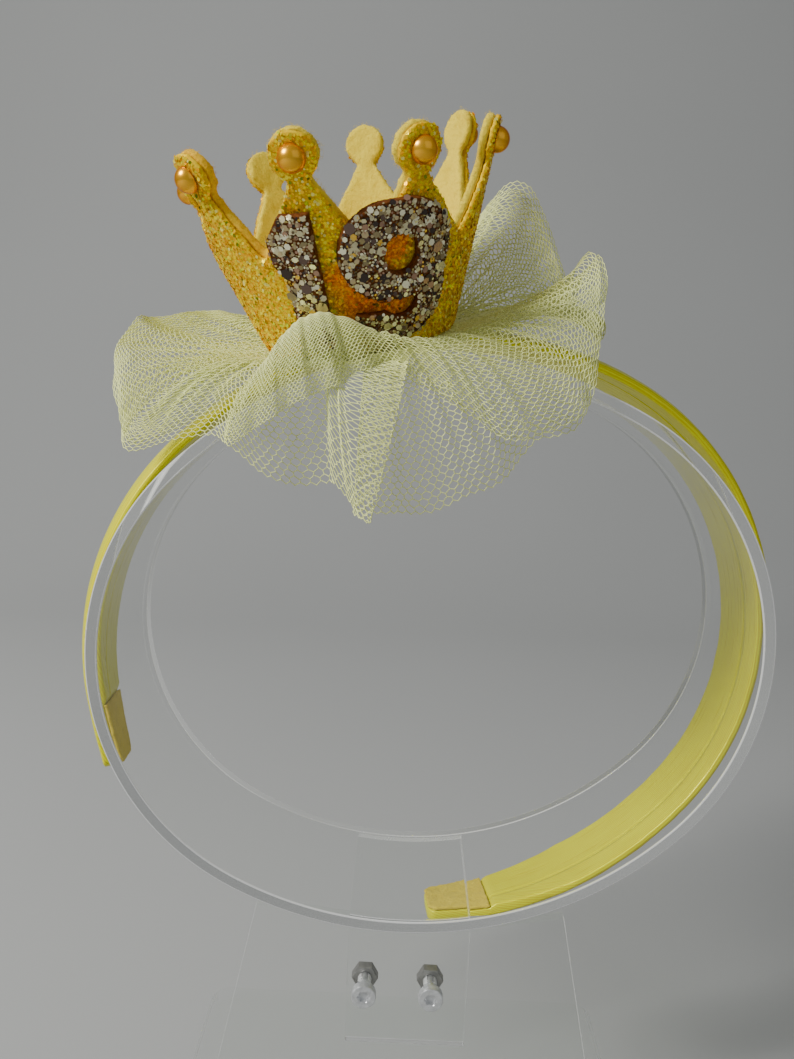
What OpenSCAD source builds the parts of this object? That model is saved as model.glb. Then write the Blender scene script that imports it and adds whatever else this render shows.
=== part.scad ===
// Mini crown headband, slipped over a clear hoop on a display stand.
// Millimetres. +Z is up, the front faces -Y, and the origin is the middle of
// the stand's foot, on the table.

/* [Stand] */

// Height of the hoop's centre above the table
hoop_z = 130; // [120:1:160]
// How far the hoop's centre sits to the side of the foot's centre
hoop_x = 1; // [0:0.5:2]
// Outside radius of the hoop's two tight side bends
hoop_side_r = 57; // [56:0.5:58]
// Ovalness: a fifth of the difference between the wide and tight bends
hoop_oval = 5; // [4.5:0.5:5.5]
// Depth of the hoop from front rim to back rim
hoop_d = 40; // [34:1:46]
// Thickness of the hoop's wall
hoop_t = 2.6; // [2:0.1:4]
// Lean of the oval, right side up, in degrees
hoop_tilt = 9; // [6:0.5:10]
// Half width of the bracket under the hoop
bracket_half = 13.7; // [12:0.1:16]
// Thickness of the bracket's saddle under the hoop
saddle_t = 1.8; // [1.5:0.1:1.9]
// Thickness of the bracket's leg
leg_t = 2; // [1.5:0.1:2.2]
// Distance of the bracket's leg behind the hoop's front rim
leg_set = 4; // [3:0.1:4]
// Drop of the leg's lower end below the hoop
leg_drop = 30.8; // [28:0.1:44]
// Thickness of the upright panel
panel_t = 3; // [2:0.1:3]
// Width of the upright panel at its top corners
panel_top_w = 70; // [60:1:80]
// Width of the upright panel at the foot
panel_low_w = 98; // [84:1:104]
// Dip of the panel's top edge in the middle
panel_dip = 3.8; // [3:0.1:5]
// Width of the foot plate
foot_w = 112; // [100:1:140]
// Depth of the foot plate
foot_d = 88; // [76:1:110]
// Thickness of the foot plate
foot_t = 4; // [3:0.5:6]
// Corner radius of the foot plate
foot_r = 6; // [2:0.5:12]
// Radius of the bolts
bolt_r = 1.5; // [1.2:0.1:2]
// Radius of the bolt heads
bolt_head_r = 2.8; // [2.4:0.1:3.2]
// Height of the bolt heads
bolt_head_h = 2.1; // [1.5:0.1:2.5]
// Distance between the two bolts
bolt_pitch = 15.2; // [12:0.1:16]
// Drop of the bolts below the hoop
bolt_drop = 17.7; // [14:0.1:24]

/* [Headband] */

// Width of the band
band_w = 19; // [15:0.5:20]
// Thickness of the band at the middle of its domed back
band_t = 3.8; // [3:0.1:4.5]
// Thickness of the band at its two edges
band_edge = 1.5; // [1.2:0.1:2]
// Air between the hoop and the band's inner face
band_air = 3.6; // [3.6:0.1:4.2]
// How far behind the hoop's front rim the band's middle plane runs
band_set = 22.9; // [21:0.1:24]
// Turn of the band's plane, right side away, in degrees
band_yaw = 6.7; // [5:0.1:8]
// Pitch of the band's plane, top away, in degrees
band_pitch = 3.9; // [3:0.1:5]
// Extra lean of the band's oval over the hoop's, in degrees
band_roll = 2.1; // [1.6:0.1:2.6]
// Shift of the band to the right, until its left end rests on the hoop
band_shift = 1.8; // [1.5:0.05:1.85]
// Drop of the band's middle below the hoop's
band_sag = 0.5; // [0.3:0.1:0.7]
// Turn of the right tip round the oval, in degrees
tip_right = -98.1; // [-99:0.1:-94]
// Drop of the left tip below the oval's middle
tip_drop = 16; // [10:0.5:18]
// Radius of the flatter bend at the left end
left_end_r = 200; // [120:10:300]
// Half width of a tip
tip_half = 5; // [4:0.1:6]
// Length over which each end tapers to its tip
taper_len = 38; // [30:1:44]
// Length of the felt pad inside each end
pad_len = 14.5; // [10:0.5:18]
// Thickness of the felt pads
pad_t = 0.8; // [0.6:0.1:1]
// Width of the seam where the ribbon's edges meet inside
seam_w = 0.6; // [0.4:0.1:1]
// Depth of that seam
seam_d = 0.3; // [0.2:0.05:0.4]
// Seam's distance in front of the band's middle
seam_off = 2.9; // [1:0.1:4]

/* [Crown] */

// Crown's base centre, sideways
crown_x = -16.3; // [-18:0.1:-14]
// Crown's base centre, front to back
crown_y = -1.3; // [-3:0.1:1]
// Crown's base centre, below the highest line of the band
crown_drop = 2.7; // [2:0.1:2.8]
// Lean of the crown towards the front, in degrees
crown_nod = 13.1; // [8:0.1:16]
// Lean of the crown towards the left, in degrees
crown_lean = 10; // [6:0.5:12]
// Outside radius of the crown at its base
crown_r = 19.9; // [18:0.1:22]
// Flare of the crown's wall from upright, in degrees
crown_flare = 19.6; // [14:0.2:22]
// Thickness of the felt layer
felt_t = 1.6; // [1.2:0.1:2]
// Thickness of the glitter fabric layer
glitter_t = 1.1; // [1:0.1:1.5]
// Height of the valleys between the points
valley_z = 19; // [16:0.5:22]
// Slant height of the disc centres at the tips
disc_v = 38.6; // [36:0.2:42]
// Radius of the disc at each tip
disc_r = 4.4; // [4:0.1:5]
// Half width of the neck under each disc
neck_half = 2; // [1.5:0.1:2.6]
// Turn of the first point, measured from the right side, in degrees
first_point = -10.8; // [-14:0.2:-8]
// Radius of the half pearls
pearl_r = 2.5; // [2:0.1:3]

/* [Numerals] */

// Thickness of the numerals
numeral_t = 1.8; // [1.2:0.1:2.2]
// Turn of the figure one round the crown, in degrees
one_turn = -109; // [-112:0.5:-106]
// Turn of the figure nine round the crown, in degrees
nine_turn = -68.5; // [-72:0.5:-66]
// Half width of the figure one's stem
stem_half = 3.3; // [2.8:0.1:3.6]
// Lean of the figure one to the right, in degrees
one_slope = 5; // [2:0.5:6]
// Height of the numerals' lower end up the crown's slope
numeral_low = 2.8; // [1:0.1:3]
// Height of the numerals' upper end up the crown's slope
numeral_top = 29.9; // [28:0.1:31]

/* [Net ruffle] */

// Longest reach of the ruffle from the crown's axis
net_reach = 60; // [54:1:62]
// Largest rise or drop of the ruffle's rim
net_rise = 30; // [24:1:32]
// Largest upward bulge of a fold near the crown
net_lift = 8; // [6:0.5:9]
// Thickness of the ruffle's wall
net_t = 1; // [1:0.1:1.2]
// Radius of the gathered inner edge under the crown
net_root = 15; // [14:0.5:16]

/* [Hidden] */

$fn = 64;
seat = 0.25;                       // air between pieces that rest on each other
// The oval is four bends that meet on lines of slope 3 : 4 : 5, so its half
// width is hoop_side_r + 3 * hoop_oval, its half height hoop_side_r + hoop_oval.
side_off = 3 * hoop_oval;          // side bends' centres, each side
top_off = 4 * hoop_oval;           // top and bottom bends' centres, past centre
hoop_top_r = hoop_side_r + 5 * hoop_oval;
far = 120;                         // outer corners of the bends' wedges
wide_r = hoop_top_r + band_air;     // band's inner face, wide bends
tight_r = hoop_side_r + band_air;   // band's inner face, tight bends
front_y = -hoop_d / 2;
saddle_x = hoop_x - top_off * sin(hoop_tilt);
saddle_z = hoop_z + top_off * cos(hoop_tilt);
hoop_low = saddle_z - hoop_top_r;  // lowest line of the hoop
band_high = hoop_z + hoop_side_r + hoop_oval + band_air + band_t;
crown_z = band_high - crown_drop;
bolt_z = hoop_low - bolt_drop;
leg_low = hoop_low - leg_drop;
leg_y = front_y + leg_set;
panel_y = leg_y + leg_t + 0.8 * seat;
panel_corner_z = hoop_low + 1.2;   // its corners rise beside the hoop
flare = tan(crown_flare);
crown_h = (disc_v + disc_r) * cos(crown_flare) + 2;
felt_h = felt_t / cos(crown_flare);          // level thicknesses of the layers
glitter_h = glitter_t / cos(crown_flare);
felt_r = crown_r - glitter_h - 0.1;
net_z = -(net_t / 2 + seat);       // middle of the net's wall under the crown
net_clear = crown_r + numeral_t + 2.4 * seat;     // where the ruffle starts to rise
cut_deep = crown_r * 0.35;                   // depth of blocks that cut the wall

// How each point strays from the even crown: sideways lean and extra height, as
// shares of disc_v, a row for each point, from the right-hand one by the front.
POINTS = [
  [0.000, -0.041], [-0.052, -0.034], [0.016, 0.010], [0.062, -0.018],
  [0.010, -0.088], [0.000, -0.062], [0.000, 0.010], [-0.041, 0.005]
];
function lean(k) = POINTS[k][0] * disc_v;
function slant(k) = (1 + POINTS[k][1]) * disc_v;

// The ruffle's folds: turn at the gathered edge, turn at the rim, then
// reach, rise and lift as shares of net_reach, net_rise and net_lift.
// The turns count on past one full round.
FOLDS = [
  [175, 166, 0.87, 0.28, 0.20], [182, 177, 0.89, 0.15, 0.20],
  [190, 186, 0.89, 0.00, 0.25], [198, 193, 0.89, -0.20, 0.30],
  [206, 198, 0.89, -0.46, 0.40], [214, 210, 0.76, -0.38, 0.55],
  [222, 225, 0.68, -0.33, 0.75], [231, 234, 0.72, -0.39, 1.00],
  [240, 240, 0.68, -0.58, 1.15], [248, 247, 0.60, -0.70, 1.20],
  [256, 256, 0.57, -0.71, 1.15], [262, 262, 0.63, -0.67, 1.00],
  [268, 267, 0.69, -0.84, 0.85], [274, 273, 0.61, -0.97, 0.80],
  [281, 284, 0.60, -1.00, 0.75], [288, 294, 0.67, -0.89, 0.70],
  [295, 305, 0.68, -0.86, 0.65], [301, 314, 0.69, -0.76, 0.60],
  [307, 317, 0.73, -0.62, 0.60], [313, 321, 0.79, -0.61, 0.55],
  [319, 326, 0.84, -0.57, 0.60], [327, 331, 0.87, -0.30, 0.60],
  [335, 341, 0.86, 0.03, 0.45], [343, 352, 0.87, 0.25, 0.30],
  [351, 358, 0.84, 0.34, 0.25], [359, 364, 0.78, -0.06, 0.20],
  [367, 369, 0.97, -0.22, 0.15], [375, 374, 1.00, -0.42, 0.15],
  [383, 380, 0.88, -0.07, 0.30], [392, 385, 0.82, 0.58, 0.70],
  [401, 392, 0.80, 0.83, 0.90], [410, 401, 0.78, 0.77, 0.90],
  [420, 414, 0.75, 0.45, 0.60], [430, 426, 0.72, 0.05, 0.40],
  [440, 437, 0.76, -0.30, 0.30], [450, 450, 0.74, -0.10, 0.30],
  [460, 461, 0.72, 0.25, 0.40], [470, 472, 0.76, 0.05, 0.30],
  [480, 482, 0.80, -0.30, 0.20], [490, 491, 0.76, -0.15, 0.30],
  [500, 500, 0.74, 0.10, 0.40], [509, 508, 0.80, 0.14, 0.30],
  [518, 515, 0.84, 0.10, 0.20], [526, 520, 0.88, 0.18, 0.15]
];
fold_parts = 2;    // ribs drawn for each row
fold_steps = 9;    // steps from the gathered edge to the rim

// Frames

// Oval's own plane: local X right, local Y up, local Z towards the front.
module in_hoop() {
  translate([hoop_x, 0, hoop_z]) rotate([0, -hoop_tilt, 0])
    rotate([90, 0, 0]) children();
}

// The band's own plane: as the hoop's, then turned, pitched and shifted.
module in_band() {
  translate([hoop_x, 0, hoop_z]) rotate([0, -hoop_tilt, 0])
    translate([0, front_y + band_set, 0])
      rotate([-band_pitch, 0, band_yaw]) translate([band_shift, 0, -band_sag])
        rotate([0, -band_roll, 0]) rotate([90, 0, 0]) children();
}

// The crown's frame: Z up its axis, origin at the middle of its base.
module in_crown() {
  translate([crown_x, crown_y, crown_z])
    rotate([crown_nod, -crown_lean, 0]) children();
}

// A spot on the crown's slope: X out of the wall, Y sideways, Z up the slope.
module on_slope(turn, radius) {
  rotate([0, 0, turn]) translate([radius, 0, 0])
    rotate([0, crown_flare, 0]) children();
}

// Shared shapes

// One bend of an oval: the profile is drawn at its radius in local X, turned
// round the bend's centre and kept inside the bend's wedge.
module bend_arc(cx, cy, wedge) {
  intersection() {
    translate([cx, cy, 0]) rotate_extrude($fn = 160) children();
    translate([0, 0, -30]) linear_extrude(height = 60)
      polygon(concat([[cx, cy]], wedge));
  }
}

// Outer corner of the wedges in one quarter of the oval.
function corner(sx, sy) = [sx * (side_off + 0.6 * far), sy * 0.8 * far];

module right_bend() {
  bend_arc(side_off, 0, [corner(1, -1), corner(1, 1)]) children();
}

module left_bend() {
  bend_arc(-side_off, 0, [corner(-1, 1), corner(-1, -1)]) children();
}

module top_bend() {
  bend_arc(0, -top_off, [corner(1, 1), corner(-1, 1)]) children();
}

module low_bend() {
  bend_arc(0, top_off, [corner(-1, -1), corner(1, -1)]) children();
}

// Part of a ring round a bend's centre, between two turns less than 60 apart.
module ring_part(cx, cy, r, from, to) {
  bend_arc(cx, cy, [for (a = [from, to]) [cx + 1.6 * r * cos(a),
                                          cy + 1.6 * r * sin(a)]]) children();
}

// Band's cross-section at inner radius r: flat inside with a shallow seam,
// domed outside.
module band_section(r) {
  dome = band_t - band_edge;
  dome_r = (pow(band_w / 2, 2) + dome * dome) / (2 * dome);
  cut = band_edge / 3;
  difference() {
    intersection() {
      translate([r + band_t - dome_r, 0]) circle(r = dome_r, $fn = 96);
      polygon([[r, cut - band_w / 2], [r + cut, -band_w / 2],
               [r + 2 * band_t, -band_w / 2], [r + 2 * band_t, band_w / 2],
               [r + cut, band_w / 2], [r, band_w / 2 - cut]]);
    }
    translate([r - band_t, seam_off]) square([band_t + seam_d, seam_w]);
  }
}

// Plan of a tapering end: the tip at 0, the full width from taper_len on.
module end_plan() {
  h = band_w * 0.52;
  cut = tip_half * 0.26;
  polygon([[0, cut - tip_half], [cut, -tip_half], [taper_len, -h],
           [taper_len * 2.2, -h], [taper_len * 2.2, h], [taper_len, h],
           [cut, tip_half], [0, tip_half - cut]]);
}

// Upright block whose outline, seen across the band's right end, is end_plan.
module right_plan() {
  x = wide_r * cos(tip_right);
  translate([x, -40, 0]) rotate([90, 0, 0])
    linear_extrude(height = 120, center = true) end_plan();
}

module left_plan() {
  translate([-side_off - hoop_side_r, -tip_drop, 0]) rotate([90, 0, 90])
    linear_extrude(height = 120, center = true) end_plan();
}

// Part of the ring of the flatter left end, between two heights on the oval.
module left_end_part(low, high) {
  ring_part(left_end_r - side_off - tight_r, 0, left_end_r,
            180 - asin(high / left_end_r), 180 - asin(low / left_end_r)) children();
}

// Headband

// Recess for a pad in the band's inner face, at radius r.
module pad_seat(r) {
  translate([r - band_t, -band_w]) square([band_t + pad_t + 0.4 * seat, 2 * band_w]);
}

module headband() {
  pad_turn = pad_len / wide_r * 180 / PI;
  color([0.93, 0.85, 0.10]) in_band() {
    difference() {
      intersection() {
        low_bend() band_section(wide_r);
        right_plan();
      }
      ring_part(0, top_off, wide_r, tip_right - 4, tip_right + pad_turn + 0.2)
        pad_seat(wide_r);
    }
    right_bend() band_section(tight_r);
    top_bend() band_section(wide_r);
    intersection() {
      bend_arc(-side_off, 0, [corner(-1, 1), [-2 * far, 0]]) band_section(tight_r);
      left_plan();
    }
    difference() {
      intersection() {
        left_end_part(-tip_drop - 4, 0) band_section(left_end_r);
        left_plan();
      }
      left_end_part(-tip_drop - 4, pad_len - tip_drop + 0.2)
        pad_seat(left_end_r);
    }
  }
}

module end_pad_right() {
  color([0.95, 0.88, 0.62]) in_band() intersection() {
    ring_part(0, top_off, wide_r, tip_right - 3, tip_right + pad_len / wide_r * 180 / PI)
      translate([wide_r, -band_w / 2]) square([pad_t, band_w]);
    right_plan();
  }
}

module end_pad_left() {
  color([0.95, 0.88, 0.62]) in_band() intersection() {
    left_end_part(-tip_drop - 3, pad_len - tip_drop)
      translate([left_end_r, -band_w / 2]) square([pad_t, band_w]);
    left_plan();
  }
}

// Crown

// Wall of a flaring layer between two base radii.
module cone_layer(inner, outer) {
  rotate_extrude($fn = 128)
    polygon([[inner, 0], [outer, 0], [outer + flare * crown_h, crown_h],
             [inner + flare * crown_h, crown_h]]);
}

// Outline of one point, up the slope: a triangle, a neck and a disc.
module point_outline(u, v) {
  v0 = valley_z / cos(crown_flare);
  half = (crown_r + flare * valley_z) * sin(22.5) * 0.98;
  polygon([[-half, v0 * 0.8], [half, v0 * 0.8], [half, v0],
           [u + neck_half, v - disc_r], [u + neck_half, v],
           [u - neck_half, v], [u - neck_half, v - disc_r], [-half, v0]]);
  translate([u, v]) circle(r = disc_r);
}

// Everything inside the crown's outline, as a solid star.
module crown_star() {
  cylinder(r = crown_r * 2.5, h = valley_z, $fn = 96);
  for (k = [0:7])
    on_slope(first_point - 45 * k, crown_r)
      translate([-cut_deep, 0, 0]) rotate([90, 0, 90])
        linear_extrude(height = 2 * cut_deep) point_outline(lean(k), slant(k));
}

module crown_felt() {
  color([0.96, 0.87, 0.60]) in_crown() {
    intersection() {
      cone_layer(felt_r - felt_h, felt_r);
      crown_star();
    }
    cylinder(r1 = felt_r - felt_t / 2, r2 = felt_r - felt_t / 2 + flare * felt_t,
             h = felt_t, $fn = 128);
  }
}

module crown_glitter() {
  color([0.95, 0.68, 0.08]) in_crown() intersection() {
    cone_layer(crown_r - glitter_h, crown_r);
    crown_star();
  }
}

module pearl(k) {
  color([0.98, 0.66, 0.15]) in_crown()
    on_slope(first_point - 45 * k, crown_r)
      translate([0.6 * seat, lean(k), slant(k)]) intersection() {
        sphere(r = pearl_r);
        translate([0, -2 * pearl_r, -2 * pearl_r]) cube(4 * pearl_r);
      }
}

// Numerals

module on_crown_wall(turn) {
  in_crown() intersection() {
    cone_layer(crown_r + 0.6 * seat,
               crown_r + 0.6 * seat + numeral_t / cos(crown_flare));
    on_slope(turn, crown_r) translate([-cut_deep, 0, 0]) rotate([90, 0, 90])
      linear_extrude(height = 2 * cut_deep) children();
  }
}

// The figure one: a stem with a small flag at the upper left.
module numeral_one() {
  flag = stem_half * 1.7;
  h = numeral_top - numeral_low;
  color([0.62, 0.58, 0.55]) on_crown_wall(one_turn)
    translate([0, numeral_low]) rotate(-one_slope)
      polygon([[-stem_half, 0], [stem_half, 0], [stem_half, h],
               [-stem_half * 0.7, h], [-flag, h * 0.827],
               [-flag * 0.93, h * 0.646], [-stem_half, h * 0.568]]);
}

// The figure nine, in shares of its height: a wide bowl with a counter, and a
// round tail cut open on the left.
module numeral_nine() {
  h = numeral_top - numeral_low;
  color([0.62, 0.58, 0.55]) on_crown_wall(nine_turn)
    translate([0, numeral_low]) difference() {
      union() {
        difference() {
          translate([-0.011 * h, 0.38 * h]) circle(r = 0.38 * h);
          translate([-0.6 * h, 0.22 * h]) square([0.615 * h, 0.5 * h]);
          translate([0.015 * h, 0.31 * h]) circle(r = 0.13 * h);
          translate([-0.6 * h, 0]) square([0.305 * h, 0.3 * h]);
        }
        for (s = [-1, 1]) translate([s * 0.063 * h, 0.657 * h]) circle(r = 0.343 * h);
        translate([-0.063 * h, 0.314 * h]) square([0.126 * h, 0.686 * h]);
      }
      for (s = [-1, 1]) translate([0.015 * h, (0.639 + s * 0.017) * h])
        circle(r = 0.12 * h);
      translate([-0.105 * h, 0.622 * h]) square([0.24 * h, 0.034 * h]);
    }
}

// Net ruffle

function wrap(i) = let (n = len(FOLDS)) i - floor(i / n) * n;
function fold_row(i) = let (r = FOLDS[wrap(i)], turn = 360 * floor(i / len(FOLDS)))
  [r[0] + turn, r[1] + turn, r[2] * net_reach, r[3] * net_rise, r[4] * net_lift];
// smooth curve through the rows: row i and the share t on to row i + 1
function smooth_row(i, t) =
  let (a = fold_row(i - 1), b = fold_row(i), c = fold_row(i + 1), d = fold_row(i + 2))
  0.5 * (2 * b + (c - a) * t + (2 * a - 5 * b + 4 * c - d) * t * t
         + (3 * b - a - 3 * c + d) * t * t * t);
function bez(p, q, r, s, t) = let (u = 1 - t)
  u * u * u * p + 3 * u * u * t * q + 3 * u * t * t * r + t * t * t * s;
// point of a rib: from under the crown's edge, up over its lift, to the rim
function rib_point(row, t) =
  let (span = row[2] - net_clear, turn = row[0] + (row[1] - row[0]) * t,
       r = bez(net_clear, net_clear + 0.45 * span, net_clear + 0.9 * span, row[2], t),
       z = bez(net_z, net_z + row[4], 0.45 * row[3] + 0.5 * row[4], row[3], t))
  [r * cos(turn), r * sin(turn), z];
// step 0 is the gathered edge, flat under the crown; the rib starts at step 1
function net_point(k, j) =
  let (row = smooth_row(floor(k / fold_parts), (k % fold_parts) / fold_parts))
  j == 0 ? [net_root * cos(row[0]), net_root * sin(row[0]), net_z]
         : rib_point(row, (j - 1) / (fold_steps - 1));
function net_side(k, j, side, ribs) =
  let (k1 = (k + 1) % ribs, k0 = (k + ribs - 1) % ribs,
       along = net_point(k1, j) - net_point(k0, j),
       out = net_point(k, min(j + 1, fold_steps)) - net_point(k, max(j - 1, 0)),
       n = cross(out, along))
  net_point(k, j) + n / norm(n) * side * net_t / 2;

module net_ruffle() {
  ribs = len(FOLDS) * fold_parts;
  row = fold_steps + 1;
  half = ribs * row;
  points = [for (side = [1, -1]) for (k = [0:ribs - 1]) for (j = [0:fold_steps])
              net_side(k, j, side, ribs)];
  faces = concat(
    [for (k = [0:ribs - 1]) let (a = k * row, b = ((k + 1) % ribs) * row)
       for (j = [0:fold_steps - 1]) each [
         [a + j, b + j, b + j + 1], [a + j, b + j + 1, a + j + 1],
         [half + a + j, half + b + j + 1, half + b + j],
         [half + a + j, half + a + j + 1, half + b + j + 1]]],
    [for (k = [0:ribs - 1]) let (a = k * row, b = ((k + 1) % ribs) * row) each [
       [a, half + a, half + b], [a, half + b, b],
       [a + fold_steps, half + b + fold_steps, half + a + fold_steps],
       [a + fold_steps, b + fold_steps, half + b + fold_steps]]]);
  color([0.93, 0.92, 0.66, 0.6]) in_crown()
    polyhedron(points = points, faces = faces, convexity = 12);
}

// Stand

module hoop_section(r) {
  translate([r - hoop_t, -hoop_d / 2]) square([hoop_t, hoop_d]);
}

module stand_hoop() {
  color([0.90, 0.93, 0.95, 0.25]) in_hoop() {
    low_bend() hoop_section(hoop_top_r);
    right_bend() hoop_section(hoop_side_r);
    top_bend() hoop_section(hoop_top_r);
    left_bend() hoop_section(hoop_side_r);
  }
}

// Cylinder along Y about the hoop's lower bend.
module saddle_round(r) {
  translate([saddle_x, 0, saddle_z]) rotate([90, 0, 0])
    cylinder(r = r, h = 200, center = true, $fn = 128);
}

module bolt_spots() {
  for (s = [-1, 1]) translate([saddle_x + s * bolt_pitch / 2, 0, bolt_z])
    rotate([-90, 0, 0]) children();
}

// Saddle under the hoop, turned down at its front end into a leg.
module stand_bracket() {
  r = hoop_top_r + seat;
  color([0.90, 0.93, 0.95, 0.25]) difference() {
    union() {
      intersection() {
        difference() {
          saddle_round(r + saddle_t);
          saddle_round(r);
        }
        translate([-bracket_half, leg_y, hoop_low - 10])
          cube([2 * bracket_half, hoop_d - leg_set, 30]);
      }
      difference() {
        translate([-bracket_half, leg_y, leg_low])
          cube([2 * bracket_half, leg_t, hoop_low + 4 - leg_low]);
        saddle_round(r + saddle_t / 2);
      }
    }
    bolt_spots() cylinder(r = bolt_r + 0.1, h = 60, center = true, $fn = 32);
  }
}

module foot_outline() {
  for (sx = [-1, 1], sy = [-1, 1])
    translate([sx * (foot_w / 2 - foot_r), sy * (foot_d / 2 - foot_r)])
      circle(r = foot_r);
  square([foot_w - 2 * foot_r, foot_d], center = true);
  square([foot_w, foot_d - 2 * foot_r], center = true);
}

// Foot plate with the trapezoid panel standing on it.
module stand_base() {
  half = panel_top_w / 2;
  cradle_r = (half * half + panel_dip * panel_dip) / (2 * panel_dip);
  color([0.90, 0.93, 0.95, 0.25]) difference() {
    union() {
      linear_extrude(height = foot_t) foot_outline();
      translate([0, panel_y + panel_t, 0]) rotate([90, 0, 0])
        linear_extrude(height = panel_t) difference() {
          polygon([[-panel_low_w / 2, foot_t / 2], [panel_low_w / 2, foot_t / 2],
                   [half, panel_corner_z], [-half, panel_corner_z]]);
          translate([0, panel_corner_z - panel_dip + cradle_r])
            circle(r = cradle_r, $fn = 180);
        }
    }
    bolt_spots() cylinder(r = bolt_r + 0.1, h = 60, center = true, $fn = 32);
  }
}

// A bolt with a round socket head in front of the leg.
module bolt(side) {
  head_y = leg_y - 0.15;
  color([0.75, 0.76, 0.78])
    translate([saddle_x + side * bolt_pitch / 2, head_y, bolt_z])
      rotate([-90, 0, 0]) {
        difference() {
          translate([0, 0, -bolt_head_h])
            cylinder(r = bolt_head_r, h = bolt_head_h, $fn = 48);
          translate([0, 0, -bolt_head_h - 1])
            cylinder(r = 1.45, h = 2.1, $fn = 6);
        }
        translate([0, 0, -0.5])
          cylinder(r = bolt_r, h = leg_t + panel_t + 3.6, $fn = 48);
      }
}

module nut(side) {
  color([0.75, 0.76, 0.78])
    translate([saddle_x + side * bolt_pitch / 2, panel_y + panel_t + 0.15, bolt_z])
      rotate([-90, 0, 0]) difference() {
        cylinder(r = 3.15, h = 2.3, $fn = 6);
        translate([0, 0, -1]) cylinder(r = bolt_r + 0.1, h = 5, $fn = 48);
      }
}

headband();
end_pad_left();
end_pad_right();
crown_felt();
crown_glitter();
pearl(0);  // pearl_1
pearl(1);  // pearl_2
pearl(2);  // pearl_3
pearl(3);  // pearl_4
pearl(4);  // pearl_5
pearl(5);  // pearl_6
pearl(6);  // pearl_7
pearl(7);  // pearl_8
numeral_one();
numeral_nine();
net_ruffle();
stand_hoop();
stand_bracket();
stand_base();
bolt(-1);  // bolt_left
bolt(1);  // bolt_right
nut(-1);  // nut_left
nut(1);  // nut_right
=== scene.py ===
from math import asin, ceil, cos, degrees, hypot, pi, radians, sin, sqrt

import bpy
import bmesh
import numpy as np
from bpy.props import (FloatProperty, FloatVectorProperty, IntProperty,
                       PointerProperty)
from mathutils import Euler, Matrix, Vector, noise


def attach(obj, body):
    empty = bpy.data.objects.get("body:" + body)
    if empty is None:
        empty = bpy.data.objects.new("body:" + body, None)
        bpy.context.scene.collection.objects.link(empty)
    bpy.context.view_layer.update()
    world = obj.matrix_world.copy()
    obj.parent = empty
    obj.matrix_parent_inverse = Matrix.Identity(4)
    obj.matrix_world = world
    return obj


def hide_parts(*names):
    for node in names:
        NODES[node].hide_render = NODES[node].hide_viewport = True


bl_info = {
    "name": "Mini Crown Headband",
    "version": (1, 0, 0),
    "blender": (4, 5, 0),
    "location": "View3D > Sidebar > Crown",
    "description": "Dresses a mini crown headband and its clear display stand",
    "category": "Add Mesh",
}

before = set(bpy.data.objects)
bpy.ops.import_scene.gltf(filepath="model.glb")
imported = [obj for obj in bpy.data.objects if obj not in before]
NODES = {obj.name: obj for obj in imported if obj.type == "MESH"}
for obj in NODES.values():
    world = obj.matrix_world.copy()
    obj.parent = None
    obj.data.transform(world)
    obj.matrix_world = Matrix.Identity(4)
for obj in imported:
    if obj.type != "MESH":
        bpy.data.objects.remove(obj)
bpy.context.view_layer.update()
MM = 0.001

# Sizes of the stand, the band and the crown, in millimetres and degrees, as in the solids
HOOP_X, HOOP_Z, HOOP_TILT = 1, 130, 9
HOOP_D, HOOP_T = 40, 2.6
SIDE_R, SIDE_OFF, TOP_OFF, SIDE_SPAN = 57, 15, 20, 53.1301
TOP_R = SIDE_R + hypot(SIDE_OFF, TOP_OFF)
BAND_AIR, BAND_T, BAND_SET, BAND_SHIFT, BAND_SAG = 3.6, 3.8, 2.9, 1.8, 0.5
BAND_YAW, BAND_PITCH, BAND_ROLL = 6.7, 3.9, 2.1
TIP_RIGHT, TIP_DROP, LEFT_END_R = -98.1, 16, 200
CROWN_X, CROWN_Y, CROWN_Z, CROWN_NOD, CROWN_LEAN = -16.3, -1.3, 196.7, 13.1, 10
CROWN_R, FLARE, DISC_V = 19.9, radians(19.6), 38.6
POINTS, FIRST_POINT, PEARL_R = 8, -10.8, 2.5


# Frames of the parts, in millimetres, as they stand on the display


def moved(x, y, z):
    """Matrix of a shift in millimetres."""
    return Matrix.Translation((x, y, z))


def turned(x, y, z):
    """Matrix of turns about X, then Y, then Z, in degrees."""
    return Euler((radians(x), radians(y), radians(z)), "XYZ").to_matrix().to_4x4()


IN_HOOP = moved(HOOP_X, 0, HOOP_Z) @ turned(0, -HOOP_TILT, 0) @ turned(90, 0, 0)
IN_BAND = (moved(HOOP_X, 0, HOOP_Z) @ turned(0, -HOOP_TILT, 0) @ moved(0, BAND_SET, 0)
           @ turned(-BAND_PITCH, 0, BAND_YAW) @ moved(BAND_SHIFT, 0, -BAND_SAG)
           @ turned(0, -BAND_ROLL, 0) @ turned(90, 0, 0))
IN_CROWN = moved(CROWN_X, CROWN_Y, CROWN_Z) @ turned(CROWN_NOD, -CROWN_LEAN, 0)


def placed(points, matrix):
    """Local points in millimetres as scene points in metres."""
    m = np.array(matrix)
    p = np.asarray(points, dtype=float)
    return (p @ m[:3, :3].T + m[:3, 3]) * MM


# Sizes and colours a user would change


def length(name, text, value):
    """A setting in metres."""
    return FloatProperty(name=name, description=text, default=value,
                         subtype="DISTANCE", unit="LENGTH", precision=5)


def tint(name, text, value):
    """A colour setting."""
    return FloatVectorProperty(name=name, description=text, default=value,
                               subtype="COLOR", size=3, min=0, max=1)


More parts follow.
